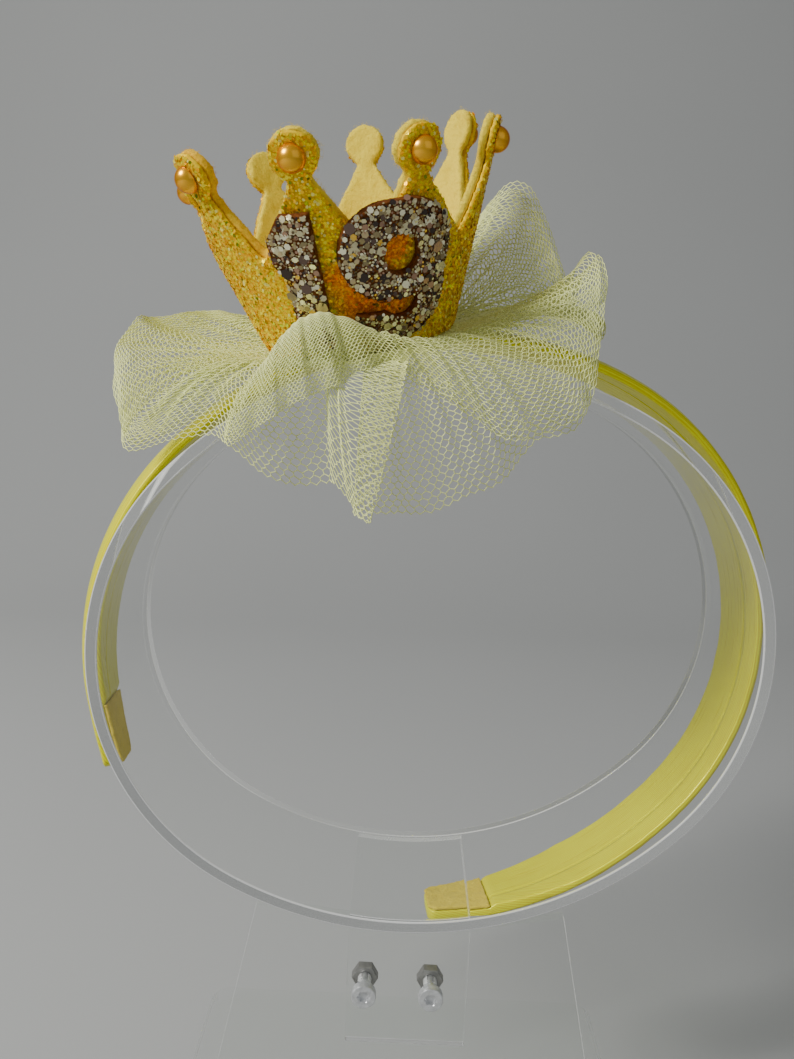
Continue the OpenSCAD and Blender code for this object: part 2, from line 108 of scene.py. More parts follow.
class BandSettings(bpy.types.PropertyGroup):
    """Ribbon-wrapped headband and its felt pads"""
    width: length("Width", "Width of the ribbon-wrapped band", 0.019)
    pucker: length("Pucker", "Height of the ribbon's small puckers", 0.00009)
    satin: tint("Satin", "Colour of the satin ribbon", (0.81, 0.86, 0.0))
    # painted shade: the deeper, more golden colour in the grooves between the threads
    satin_groove_shade: tint("Satin, deep", "Colour between its threads", (0.70, 0.58, 0.0))


class CrownSettings(bpy.types.PropertyGroup):
    """Felt crown with its glitter face and half pearls"""
    voxel: length("Grain", "Mesh size of the felt and glitter layers", 0.0006)
    flake: length("Flake", "Radius of one glitter flake", 0.00042)
    spacing: length("Spacing", "Least distance between two flakes", 0.00043)
    fibre: length("Fibre", "Length of a loose felt fibre", 0.001)
    fibres: IntProperty(name="Fibres", default=4200, min=0,
                        description="Number of loose fibres on the felt")
    felt: tint("Felt", "Colour of the felt", (0.88, 0.68, 0.05))
    gold: tint("Gold", "Colour of most flakes", (1.0, 0.60, 0.02))
    pearl: tint("Pearl", "Colour of the half pearls", (0.90, 0.36, 0.0))


class NumeralSettings(bpy.types.PropertyGroup):
    """The two glitter figures"""
    flake: length("Flake", "Radius of a large flake", 0.00074)
    spacing: length("Spacing", "Least distance between two large flakes", 0.00098)
    base: tint("Base", "Colour of the board behind the flakes", (0.10, 0.032, 0.008))


class NetSettings(bpy.types.PropertyGroup):
    """Gathered net round the crown"""
    cell: length("Cell", "Width of one cell of the net", 0.00195)
    squash: FloatProperty(name="Squash", default=0.5, min=0.3, max=1.5,
                          description="Height of a cell against an even one")
    strand: length("Strand", "Radius of one strand of the net", 0.00012)
    pleat: length("Pleat", "Height of the small pleats near the crown", 0.0006)
    colour: tint("Net", "Colour of the net", (0.94, 0.99, 0.42))


class StandSettings(bpy.types.PropertyGroup):
    """Clear hoop, bracket, panel and foot, with their bolts"""
    edge: length("Edge", "Rounding of the cut edges", 0.0003)
    clear: tint("Clear", "Tint of the clear sheet", (0.985, 0.99, 0.985))
    metal: tint("Bolts", "Colour of the bolts", (0.78, 0.79, 0.80))
    nut: tint("Nuts", "Colour of the nuts", (0.34, 0.33, 0.32))


class StageSettings(bpy.types.PropertyGroup):
    """Floor, lights and camera"""
    floor: tint("Floor", "Colour of the floor and backdrop", (0.44, 0.445, 0.44))
    key: FloatProperty(name="Key light", default=15.0, min=0, subtype="POWER",
                       unit="POWER", description="Power of the large window light")
    fill: FloatProperty(name="Fill light", default=1.6, min=0, subtype="POWER",
                        unit="POWER", description="Power of the soft front light")
    focal: FloatProperty(name="Focal length", default=30.595, min=1, subtype="DISTANCE_CAMERA",
                         unit="CAMERA", description="Focal length in millimetres")


GROUPS = {"crown_band": BandSettings, "crown_crown": CrownSettings,
          "crown_figures": NumeralSettings, "crown_net": NetSettings,
          "crown_stand": StandSettings, "crown_stage": StageSettings}


def settings(name):
    """One group of the scene's settings."""
    return getattr(bpy.context.scene, "crown_" + name)


# Node helpers, for materials and for Geometry Nodes


def add(tree, kind, links=None, **values):
    """A node with its settings; links sets inputs to a value or to an output."""
    node = tree.nodes.new(kind)
    for key, value in values.items():
        setattr(node, key, value)
    for key, value in (links or {}).items():
        if isinstance(value, bpy.types.NodeSocket):
            tree.links.new(value, node.inputs[key])
        else:
            node.inputs[key].default_value = value
    return node


def finish(name, colour, rough, **sockets):
    """A material; sockets are set on the shader itself. Returns it, its tree and shader."""
    mat = bpy.data.materials.new(name)
    mat.use_nodes = True
    mat.diffuse_color = (*colour[:3], 1)
    tree = mat.node_tree
    shader = next(n for n in tree.nodes if n.type == "BSDF_PRINCIPLED")
    shader.inputs["Base Color"].default_value = (*colour[:3], 1)
    shader.inputs["Roughness"].default_value = rough
    for key, value in sockets.items():
        shader.inputs[key.replace("_", " ").title().replace("Ior", "IOR")].default_value = value
    return mat, tree, shader


def maths(tree, operation, first, second):
    """One operation on two numbers, each a value or an output."""
    return add(tree, "ShaderNodeMath", {0: first, 1: second}, operation=operation).outputs[0]


def mixed(tree, share, first, second):
    """A number between two others."""
    return add(tree, "ShaderNodeMix", {0: share, 2: first, 3: second}).outputs[0]


def multiplied(tree, share, colour, by):
    """A colour multiplied by another, as far as the share says."""
    return add(tree, "ShaderNodeMix", {0: share, 6: colour, 7: by},
               data_type="RGBA", blend_type="MULTIPLY").outputs[2]


def mapped(tree, output="Object", scale=(1, 1, 1)):
    """Coordinates of the piece, scaled for a pattern."""
    coords = add(tree, "ShaderNodeTexCoord")
    return add(tree, "ShaderNodeMapping",
               {"Vector": coords.outputs[output], "Scale": scale}).outputs["Vector"]


def mottled(tree, vector, scale, detail=3.0, rough=0.55, swirl=0.0):
    """Cloudy numbers; a scale of 1000 gives clouds of about a millimetre."""
    return add(tree, "ShaderNodeTexNoise",
               {"Vector": vector, "Scale": scale, "Detail": detail,
                "Roughness": rough, "Distortion": swirl}).outputs["Fac"]


def ramp(tree, factor, stops, constant=False):
    """Colour ramp through (position, colour) stops."""
    node = add(tree, "ShaderNodeValToRGB", {"Fac": factor})
    node.color_ramp.interpolation = "CONSTANT" if constant else "LINEAR"
    while len(node.color_ramp.elements) < len(stops):
        node.color_ramp.elements.new(0.5)
    for element, (at, colour) in zip(node.color_ramp.elements, stops):
        element.position = at
        element.color = (*colour[:3], 1) if hasattr(colour, "__len__") else (colour,) * 3 + (1,)
    return node.outputs["Color"]


def bumped(tree, shader, height, depth, strength=1.0, over=None):
    """Relief of that depth in metres on the shader's normal."""
    links = {"Height": height, "Distance": depth, "Strength": strength}
    if over is not None:
        links["Normal"] = over
    node = add(tree, "ShaderNodeBump", links)
    tree.links.new(node.outputs["Normal"], shader.inputs["Normal"])
    return node.outputs["Normal"]


def join(tree, value, socket):
    """Link an output to an input."""
    tree.links.new(value, socket)


def between(a, b, t):
    """The colour a share t of the way from a to b."""
    return tuple(x + (y - x) * t for x, y in zip(a, b))


def scaled(colour, red, green, blue):
    """A colour with each of its parts multiplied."""
    return colour[0] * red, colour[1] * green, colour[2] * blue


# Mesh helpers


def linked(name, data, mats=()):
    """A new object at the origin, in the scene."""
    for mat in mats:
        data.materials.append(mat)
    obj = bpy.data.objects.new(name, data)
    bpy.context.scene.collection.objects.link(obj)
    return obj


def smoothed(mesh):
    """Shade every face smooth."""
    mesh.polygons.foreach_set("use_smooth", [True] * len(mesh.polygons))


def piece(name, verts, faces, mats=(), edges=()):
    """A new smooth object whose vertices are where they stand in the scene."""
    mesh = bpy.data.meshes.new(name)
    mesh.from_pydata(np.asarray(verts).tolist(), edges, faces)
    mesh.update()
    smoothed(mesh)
    return linked(name, mesh, mats)


def dismiss(obj):
    """Remove a working object and its mesh."""
    mesh = obj.data
    bpy.data.objects.remove(obj)
    if mesh.users == 0:
        bpy.data.meshes.remove(mesh)


def settled(obj, name, mats=()):
    """The object with its modifiers applied, as a new plain piece."""
    deps = bpy.context.evaluated_depsgraph_get()
    mesh = bpy.data.meshes.new_from_object(obj.evaluated_get(deps), depsgraph=deps,
                                           preserve_all_data_layers=True)
    mesh.name = name
    if mats:
        mesh.materials.clear()
    return linked(name, mesh, mats)


def merged(node):
    """A CAD node's form for editing, with its loose triangles joined."""
    bm = bmesh.new()
    bm.from_mesh(NODES[node].data)
    bmesh.ops.remove_doubles(bm, verts=bm.verts, dist=1e-6)
    return bm


def kept(bm, name):
    """The edited form as a new mesh."""
    mesh = bpy.data.meshes.new(name)
    bm.to_mesh(mesh)
    bm.free()
    return mesh


def vertex_rows(mesh):
    """Places and normals of a mesh's vertices."""
    places = np.empty(len(mesh.vertices) * 3)
    mesh.vertices.foreach_get("co", places)
    return places.reshape(-1, 3), np.array([v.normal[:] for v in mesh.vertices])


def softened(node, name, mats, voxel, passes, wave, swell):
    """A node's form as a fine mesh with rounded edges and a gently uneven face.

    wave is the size of the unevenness and swell its height, in metres."""
    work = linked(name + "_work", kept(merged(node), name + "_work"))
    grain = work.modifiers.new("Grain", "REMESH")
    grain.mode, grain.voxel_size, grain.adaptivity = "VOXEL", voxel, 0
    soft = work.modifiers.new("Round", "SMOOTH")
    soft.factor, soft.iterations = 0.5, passes
    new = settled(work, name, mats)
    dismiss(work)
    places, normals = vertex_rows(new.data)
    # a finer unevenness, half as high, lies on the wide one
    finer = 2.7
    lift = np.array([noise.noise(Vector(p) / wave) + 0.5 * noise.noise(Vector(p) * finer / wave)
                     for p in places])
    places += normals * (lift * swell)[:, None]
    new.data.vertices.foreach_set("co", places.ravel())
    smoothed(new.data)
    new.data.update()
    return new


def crisp(mesh, angle):
    """Smooth shading inside each face of the form, with a clean break at its edges."""
    bm = bmesh.new()
    bm.from_mesh(mesh)
    for face in bm.faces:
        face.smooth = True
    for edge in bm.edges:
        edge.smooth = len(edge.link_faces) == 2 and edge.calc_face_angle(0) < radians(angle)
    bm.to_mesh(mesh)
    bm.free()


def node_tree(name, inputs):
    """A Geometry Nodes tree with named inputs; returns it and the outputs that give them."""
    tree = bpy.data.node_groups.new(name, "GeometryNodeTree")
    face = tree.interface
    face.new_socket("Geometry", in_out="INPUT", socket_type="NodeSocketGeometry")
    for label, kind, value in inputs:
        socket = face.new_socket(label, in_out="INPUT", socket_type="NodeSocket" + kind)
        socket.default_value = value
    face.new_socket("Material", in_out="INPUT", socket_type="NodeSocketMaterial")
    face.new_socket("Geometry", in_out="OUTPUT", socket_type="NodeSocketGeometry")
    return tree, tree.nodes.new("NodeGroupInput").outputs


def close_tree(tree, given, result):
    """End a tree in Realize Instances and Set Material."""
    real = add(tree, "GeometryNodeRealizeInstances", {"Geometry": result})
    done = add(tree, "GeometryNodeSetMaterial",
               {"Geometry": real.outputs[0], "Material": given["Material"]})
    add(tree, "NodeGroupOutput", {"Geometry": done.outputs[0]})


def grown(source, name, tree, **values):
    """Run a tree on an object and keep what it makes as a plain piece."""
    mod = source.modifiers.new("Grow", "NODES")
    mod.node_group = tree
    wanted = {key.replace("_", " ").capitalize(): value for key, value in values.items()}
    for item in tree.interface.items_tree:
        if item.item_type == "SOCKET" and item.in_out == "INPUT" and item.name in wanted:
            mod[item.identifier] = wanted.pop(item.name)
    if wanted:
        raise RuntimeError("no such input: " + ", ".join(wanted))
    new = settled(source, name)
    source.modifiers.remove(mod)
    if not len(new.data.polygons):
        raise RuntimeError(name + " came out empty")
    return new


def named(obj, name, values):
    """Keep one number for each vertex on the mesh."""
    attribute = obj.data.attributes.new(name, "FLOAT", "POINT")
    attribute.data.foreach_set("value", np.asarray(values).ravel())


def on_body(obj, slot, *nodes):
    """Put a finished piece on the object's body and hide the nodes it stands for; the slot is not
    used.
    """
    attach(obj, "root")
    if nodes:
        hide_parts(*nodes)


# Materials


def satin():
    """Woven satin: fine threads along the ribbon, painted brighter on the raised ones and deeper
    in the grooves between them.
    """
    s = settings("band")
    mat, tree, shader = finish("satin_ribbon", s.satin, 0.32, sheen_weight=0.03,
                               sheen_roughness=0.35, anisotropic=0.45,
                               specular_ior_level=0.8, specular_tint=(0.98, 1, 0.18, 1))
    along = mapped(tree, "UV")
    threads = add(tree, "ShaderNodeTexWave",
                  {"Vector": along, "Scale": 480.0, "Distortion": 1.2, "Detail": 2.0,
                   "Detail Scale": 0.4}, wave_type="BANDS", bands_direction="Y").outputs["Fac"]
    picks = add(tree, "ShaderNodeTexWave",
                {"Vector": along, "Scale": 640.0, "Distortion": 0.6},
                wave_type="BANDS", bands_direction="X").outputs["Fac"]
    streak = mottled(tree, mapped(tree, "UV", (60, 1400, 1)), 1.0, 4.0)
    worn = mottled(tree, mapped(tree, "UV", (90, 140, 1)), 1.0, 3.0)
    # painted shade: darker and more golden in the grooves between the threads, and at random
    # along the streaks
    colour = ramp(tree, maths(tree, "MULTIPLY", threads, streak),
                  [(0.0, s.satin_groove_shade), (0.45, s.satin)])
    shade = ramp(tree, worn, [(0.3, (0.93, 0.90, 0.85)), (0.7, (1, 1, 1))])
    join(tree, multiplied(tree, 1.0, colour, shade), shader.inputs["Base Color"])
    join(tree, ramp(tree, streak, [(0.3, 0.24), (0.75, 0.42)]), shader.inputs["Roughness"])
    weave = maths(tree, "ADD", maths(tree, "MULTIPLY", threads, 0.8), picks)
    over = bumped(tree, shader, weave, 0.00003, 0.35)
    bumped(tree, shader, worn, 0.00035, 0.5, over)
    return mat


def felt(name, colour, places=()):
    """Pressed wool felt: matted fibres, small pills and a soft sheen."""
    mat, tree, shader = finish(name, colour, 0.95, sheen_weight=0.2, sheen_roughness=0.6,
                               sheen_tint=(1, 0.88, 0.45, 1), specular_ior_level=0.15)
    place = mapped(tree)
    hair = mottled(tree, place, 1500.0, 5.0, 0.7, 1.8)
    pills = mottled(tree, place, 420.0, 4.0, 0.6)
    blot = mottled(tree, place, 90.0, 2.0)
    total = maths(tree, "ADD", maths(tree, "ADD", hair, pills), blot)
    mean = maths(tree, "DIVIDE", total, 3.0)
    light = tuple(min(1.0, c) for c in scaled(colour, 1.12, 1.12, 1.12))
    tone = ramp(tree, mean, [(0.34, scaled(colour, 0.72, 0.62, 0.40)), (0.5, colour),
                             (0.66, light)])
    # near the given places a warm tint paints the light that the glitter beside the felt throws
    # on it
    join(tree, tinted_by_painted_light(tree, tone, places, PAINTED_GLOW_TINT), shader.inputs["Base Color"])
    over = bumped(tree, shader, hair, 0.00022, 0.7)
    bumped(tree, shader, pills, 0.0008, 0.7, over)
    return mat


def glitter_base(name, dark, light, cell, places=()):
    """Fine glitter stuck on cloth: each grain has its own tone and slant."""
    mat, tree, shader = finish(name, light, 0.6, metallic=0.1, specular_ior_level=0.25,
                               specular_tint=(*light, 1))
    place = mapped(tree)
    grain = add(tree, "ShaderNodeTexVoronoi", {"Vector": place, "Scale": 1 / cell},
                feature="F1")
    tone = add(tree, "ShaderNodeSeparateColor", {"Color": grain.outputs["Color"]}).outputs[0]
    wide = mottled(tree, place, 160.0, 2.0)
    colour = ramp(tree, mixed(tree, 0.35, tone, wide),
                  [(0.15, dark), (0.55, between(dark, light, 0.6)), (0.9, light)])
    # near the given places an orange tint paints the shade that the figures cast
    join(tree, tinted_by_painted_light(tree, colour, places, PAINTED_SHADE_TINT), shader.inputs["Base Color"])
    join(tree, ramp(tree, tone, [(0.1, 0.85), (0.9, 0.5)]), shader.inputs["Roughness"])
    over = bumped(tree, shader, tone, cell * 0.5, 0.8)
    bumped(tree, shader, wide, 0.0006, 0.4, over)
    return mat


# Places in the crown with two radii, in millimetres: gaps of its face that the figures shade,
# where an orange tint paints that shade on the glitter, and felt beside the glitter, where a warm
# tint paints the light that the glitter throws on it
PAINTED_SHADE_SPOTS = ((9.4, -26.8, 20.4, 3.6, 5.2), (5.2, -24.0, 10.0, 5.5, 9.5),
          (-1.2, -26.0, 15.0, 1.5, 4.5))
PAINTED_GLOW_SPOTS = ((-24.5, -19.0, 35.0, 7.0, 10.0), (-21.0, -16.5, 20.0, 7.0, 13.0),
           (1.5, -28.0, 22.0, 4.0, 8.0))
# orange tint of the painted shade on the glitter
PAINTED_SHADE_TINT = (1.0, 0.44, 0.05)
# warm tint of the painted glow that the glitter throws on the felt
PAINTED_GLOW_TINT = (1.0, 0.78, 0.30)


def tinted_by_painted_light(tree, colour, places, tint):
    """The colour, multiplied by a tint of painted shade or painted glow near the given places."""
    if not places:
        return colour
    coords = add(tree, "ShaderNodeTexCoord").outputs["Object"]
    most = 0.0
    for x, y, z, near, far in places:
        spot = placed([(x, y, z)], IN_CROWN)[0].tolist()
        gap = add(tree, "ShaderNodeVectorMath", {0: coords, 1: spot}, operation="DISTANCE")
        part = add(tree, "ShaderNodeMapRange",
                   {"Value": gap.outputs["Value"], "From Min": near * MM,
                    "From Max": far * MM, "To Min": 1.0, "To Max": 0.0}).outputs[0]
        most = maths(tree, "MAXIMUM", most, part)
    return multiplied(tree, most, colour, (*tint, 1))


def flakes_finish(name, tones, rough, metal, places=()):
    """Foil flakes; each takes its tone from its own random number."""
    mat, tree, shader = finish(name, tones[0][1], rough, metallic=metal,
                               specular_tint=(*tones[0][1], 1))
    own = add(tree, "ShaderNodeAttribute", attribute_name="tone").outputs["Fac"]
    colour = ramp(tree, own, tones, constant=True)
    # near the given places an orange tint paints the shade that the figures cast
    join(tree, tinted_by_painted_light(tree, colour, places, PAINTED_SHADE_TINT), shader.inputs["Base Color"])
    dust = mottled(tree, mapped(tree), 2600.0, 2.0)
    join(tree, ramp(tree, dust, [(0.35, rough * 0.7), (0.7, rough * 1.5)]),
         shader.inputs["Roughness"])
    bumped(tree, shader, dust, 0.00006, 0.4)
    return mat


def pearl_finish():
    """Lustrous coating over a warm bead, painted lighter where it faces the viewer and deeper
    towards its rim.
    """
    s = settings("crown")
    mat, tree, shader = finish("pearl_coating", s.pearl, 0.27, metallic=0.75,
                               coat_weight=0.3, coat_roughness=0.03,
                               specular_tint=(1.0, 0.62, 0.12, 1))
    # painted shading: the base colour runs from light where the bead faces the viewer to deep at
    # its rim
    rim = add(tree, "ShaderNodeLayerWeight", {"Blend": 0.35}).outputs["Facing"]
    cloud = mottled(tree, mapped(tree), 700.0, 3.0)
    light = between(s.pearl, (1.0, 0.66, 0.06), 0.6)
    join(tree, ramp(tree, mixed(tree, 0.25, rim, cloud),
                    [(0.05, light), (0.45, s.pearl), (0.95, scaled(s.pearl, 0.8, 0.62, 0.3))]),
         shader.inputs["Base Color"])
    bumped(tree, shader, cloud, 0.00004, 0.3)
    return mat


def net_finish(name, colour, deep):
    """Fine translucent nylon strands."""
    mat, tree, shader = finish(name, colour, 0.5, sheen_weight=0.15, specular_ior_level=0.4)
    place = mapped(tree)
    wide = mottled(tree, place, 55.0, 2.0)
    near = mottled(tree, place, 1800.0, 2.0)
    join(tree, ramp(tree, mixed(tree, 0.3, wide, near), [(0.35, deep), (0.62, colour)]),
         shader.inputs["Base Color"])
    join(tree, ramp(tree, near, [(0.3, 0.4), (0.7, 0.62)]), shader.inputs["Roughness"])
    bumped(tree, shader, near, 0.00003, 0.3)
    return mat


def clear_sheet(name, colour, low, high, glass=1.0, bend=1.2):
    """Clear plastic with faint handling marks; low and high bound its roughness."""
    mat, tree, shader = finish(name, colour, low, transmission_weight=glass, ior=bend,
                               specular_ior_level=0.5)
    marks = mottled(tree, mapped(tree), 120.0, 8.0, 0.75, 2.5)
    join(tree, ramp(tree, marks, [(0.5, low), (0.8, high)]), shader.inputs["Roughness"])
    # rays from lamps go straight through, so what stands behind is lit, and so do
    # rays caught between the faces
    ray = add(tree, "ShaderNodeLightPath").outputs
    most_bounces = 3.5
    caught = maths(tree, "GREATER_THAN", ray["Ray Depth"], most_bounces)
    lit = maths(tree, "MAXIMUM", ray["Is Shadow Ray"], ray["Is Diffuse Ray"])
    straight = add(tree, "ShaderNodeBsdfTransparent", {"Color": (*colour[:3], 1)})
    either = add(tree, "ShaderNodeMixShader",
                 {0: maths(tree, "MAXIMUM", lit, caught), 1: shader.outputs[0],
                  2: straight.outputs[0]})
    out = next(n for n in tree.nodes if n.type == "OUTPUT_MATERIAL")
    join(tree, either.outputs[0], out.inputs["Surface"])
    return mat


def steel(name, colour):
    """Turned steel: fine rings and cloudy rubbed patches."""
    mat, tree, shader = finish(name, colour, 0.3, metallic=0.7)
    rub = mottled(tree, mapped(tree), 900.0, 4.0)
    rings = mottled(tree, mapped(tree, "Object", (300, 6000, 300)), 1.0, 3.0, 0.5)
    join(tree, ramp(tree, rub, [(0.3, scaled(colour, 0.7, 0.7, 0.7)), (0.7, colour)]),
         shader.inputs["Base Color"])
    join(tree, ramp(tree, rub, [(0.3, 0.28), (0.7, 0.5)]), shader.inputs["Roughness"])
    bumped(tree, shader, rings, 0.00005, 0.5)
    return mat


# Headband

# Bends of an oval: centre, radius and the angles it spans. The band's follow its inner
# face from the right tip to the left one, the hoop's follow its outer face.
WIDE_R, TIGHT_R = TOP_R + BAND_AIR, SIDE_R + BAND_AIR
BAND_BENDS = ((0, TOP_OFF, WIDE_R, TIP_RIGHT, -SIDE_SPAN),
              (SIDE_OFF, 0, TIGHT_R, -SIDE_SPAN, SIDE_SPAN),
              (0, -TOP_OFF, WIDE_R, SIDE_SPAN, 180 - SIDE_SPAN),
              (-SIDE_OFF, 0, TIGHT_R, 180 - SIDE_SPAN, 180),
              (LEFT_END_R - SIDE_OFF - TIGHT_R, 0, LEFT_END_R, 180,
               180 + degrees(asin(TIP_DROP / LEFT_END_R))))
HOOP_BENDS = ((SIDE_OFF, 0, SIDE_R, -SIDE_SPAN, SIDE_SPAN),
              (0, -TOP_OFF, TOP_R, SIDE_SPAN, 180 - SIDE_SPAN),
              (-SIDE_OFF, 0, SIDE_R, 180 - SIDE_SPAN, 180 + SIDE_SPAN),
              (0, TOP_OFF, TOP_R, 180 + SIDE_SPAN, 360 - SIDE_SPAN))
# The band narrows over TAPER_LEN to its tips: half widths of their flat and of their
# whole end, the round between them, and the half width that the taper runs to
TIP_FLAT, TIP_HALF, TIP_ROUND, TAPER_LEN, TAPER_HALF = 3.5, 5.05, 1.6, 38, 9.88
# Lengths of band in which each tip is looked for
RIGHT_RUN, LEFT_RUN, FAR = 150, 80, 99.0
# Hollow of a pad: its depth, its length from the tip and the slope at its end
POCKET_DEEP, POCKET_END, POCKET_SLOPE = 0.9, 14.7, 0.8
# The section's dome and edges, and the seam inside: its place, the gap and the lap
# beside it, and how proud its selvedge lies
DOME, EDGE_R, EDGE_SHARE, EDGE_STEPS = 2.3, 0.55, 0.42, 5
SEAM, SEAM_FROM, SEAM_GAP, SEAM_LAP, SELVEDGE = 3.2, 4.2, 0.42, 0.16, 0.3


def along_bends(bends, step):
    """Stations on the bends: x, y, outward x, outward y, distance along."""
    rows, done = [], 0.0
    for bend in bends:
        cx, cy, r, a0, a1 = bend
        run = radians(a1 - a0) * r
        n = max(2, ceil(run / step))
        # a bend ends where the next begins, so only the last has a station at its end
        stations = n + 1 if bend is bends[-1] else n
        for i in range(stations):
            a = radians(a0 + (a1 - a0) * i / n)
            rows.append((cx + r * cos(a), cy + r * sin(a), cos(a), sin(a), done + run * i / n))
        done += run
    return rows


def tube_faces(rows, count, closed=False):
    """Faces between the rows of a sweep, each with count points round its section."""
    around = [(k, (k + 1) % count) for k in range(count)]
    faces = []
    for i in range(rows if closed else rows - 1):
        a, b = i * count, (i + 1) % rows * count
        faces += [(a + k, b + k, b + j, a + j) for k, j in around]
    return faces


def half_width(d, full):
    """Half width of the band at a distance from a tip: a round end, then a taper."""
    if d < TIP_ROUND:
        return TIP_FLAT + (TIP_HALF - TIP_FLAT) * sqrt(max(0.0, 1 - (1 - d / TIP_ROUND) ** 2))
    if d < TAPER_LEN:
        t = (d - TIP_ROUND) / (TAPER_LEN - TIP_ROUND)
        return min(full, TIP_HALF + (TAPER_HALF - TIP_HALF) * t)
    return full


def stretch(start, end, steps):
    """Evenly spaced numbers from start to end."""
    return [start + (end - start) * i / (steps - 1) for i in range(steps)]


def band_loop(w, inner, full):
    """Section of the wrapped band: (height out of the inner face, sideways)."""
    dome_r = (full ** 2 + DOME * DOME) / (2 * DOME)

    def top(z):
        return BAND_T - dome_r + sqrt(dome_r * dome_r - z * z)

    rim = top(w)
    bend = min(EDGE_R, EDGE_SHARE * (rim - inner))
    flat = w - bend
    seam = SEAM if w > SEAM_FROM else w * 0.5
    turns = [radians(90 * k / EDGE_STEPS) for k in range(EDGE_STEPS)]
    edge = [(inner + bend * (1 - cos(a)), -flat - bend * sin(a)) for a in turns[1:]]
    edge.append(((inner + rim) / 2, -w))
    edge += [(rim - bend * (1 - sin(a)), -w + bend * (1 - cos(a))) for a in turns]
    loop = [(inner, z) for z in stretch(seam - SEAM_GAP, -flat, 16)] + edge
    loop += [(top(z), z) for z in stretch(-flat, flat, 27)]
    loop += [(h, -z) for h, z in reversed(edge)]
    loop += [(inner, z) for z in stretch(flat, seam + SEAM_LAP, 8)]
    # the rear selvedge lies a little proud, with a groove along it
    loop += [(inner + SELVEDGE - 0.02, seam + 0.10), (inner + SELVEDGE, seam - 0.22)]
    return loop


def puckers(d, h, z, edge):
    """The ribbon's creases as heights up to about 1, with finer slanting ones at its edges."""
    wide = Vector((d / 5.5, z / 3.0, h))
    fine = Vector((d / 1.9 + z * 0.35, z / 1.6, h * 0.4 + 7))
    return noise.noise(wide) * (0.45 + 0.9 * edge) + noise.noise(fine) * 0.55 * edge


class CROWN_OT_headband(bpy.types.Operator):
    """Sweep the wrapped ribbon round the oval, with puckers and a lengthwise seam"""
    bl_idname = "mini_crown.headband"
    bl_label = "Headband"

    def execute(self, context):
        s = settings("band")
        full = s.width / MM / 2
        rows = along_bends(BAND_BENDS, 0.9)
        total = rows[-1][4]
        x_tip = WIDE_R * cos(radians(TIP_RIGHT))
        verts, uvs = [], []
        for x, y, nx, ny, d in rows:
            from_right = max(0.0, x - x_tip) if d < RIGHT_RUN else FAR
            from_left = max(0.0, y + TIP_DROP) if d > total - LEFT_RUN else FAR
            w = half_width(min(from_right, from_left), full)
            slope = 1 - (min(d, total - d) - POCKET_END) / POCKET_SLOPE
            inner = POCKET_DEEP * min(1.0, max(0.0, slope))
            loop = band_loop(w, inner, full)
            # the ribbon's middle wanders a little from side to side
            sway = noise.noise(Vector((d / 9.0, 3.7, 0))) * 0.12
            run = 0.0
            last = loop[0]
            for h, z in loop:
                lift = puckers(d, h, z, min(1.0, abs(z) / w) ** 3) * s.pucker / MM
                if h <= inner + 0.01:
                    lift = -abs(lift) * 0.7
                run += hypot(h - last[0], z - last[1])
                last = (h, z)
                out = h + lift
                side = z + sway if abs(z) < w * 0.6 else z
                verts.append((x + nx * out, y + ny * out, side))
                uvs.append((d * MM, run * MM))
        count = len(loop)
        faces = tube_faces(len(rows), count)
        faces += [tuple(range(count)), tuple(range(len(verts) - 1, len(verts) - count - 1, -1))]
        obj = piece("headband_ribbon", placed(verts, IN_BAND), faces, [satin()])
        layer = obj.data.uv_layers.new(name="along")
        uv = np.array([uvs[corner.vertex_index] for corner in obj.data.loops])
        layer.data.foreach_set("uv", uv.ravel())
        bm = bmesh.new()
        bm.from_mesh(obj.data)
        bmesh.ops.recalc_face_normals(bm, faces=bm.faces)
        bm.to_mesh(obj.data)
        bm.free()
        on_body(obj, "satin_yellow", "headband")
        return {"FINISHED"}


class CROWN_OT_pads(bpy.types.Operator):
    """Felt pads inside the two ends of the band"""
    bl_idname = "mini_crown.pads"
    bl_label = "End pads"

    def execute(self, context):
        s = settings("crown")
        mat = felt("pad_felt", scaled(s.felt, 0.80, 0.80, 0.85))
        tree = fibre_tree()
        for node in ("end_pad_left", "end_pad_right"):
            pad = softened(node, node + "_felt", [mat], voxel=0.00025, passes=3,
                           wave=0.002, swell=0.00008)
            on_body(pad, "felt_cream", node)
            named(pad, "shaggy", np.ones(len(pad.data.vertices)))
            fuzz = grown(pad, node + "_fuzz", tree, fibre=s.fibre * 0.7, fibres=260,
                         material=mat)
            on_body(fuzz, "felt_cream")
        return {"FINISHED"}


# Crown


def in_crown(obj):
    """Crown-frame position and normal of each vertex of a piece, in millimetres."""
    back = np.array(IN_CROWN.inverted())
    places, normals = vertex_rows(obj.data)
    return places / MM @ back[:3, :3].T + back[:3, 3], normals @ back[:3, :3].T


def facing_out(obj):
    """How far each vertex faces out of the crown's cone: 1 outwards, -1 inwards."""
    local, normal = in_crown(obj)
    flat = np.hypot(local[:, 0], local[:, 1]) + 1e-9
    out = (normal[:, 0] * local[:, 0] + normal[:, 1] * local[:, 1]) / flat * cos(FLARE)
    return out - normal[:, 2] * sin(FLARE)


def kept_number(tree, name):
    """The number that named() keeps on the mesh."""
    return add(tree, "GeometryNodeInputNamedAttribute", {"Name": name},
               data_type="FLOAT").outputs["Attribute"]


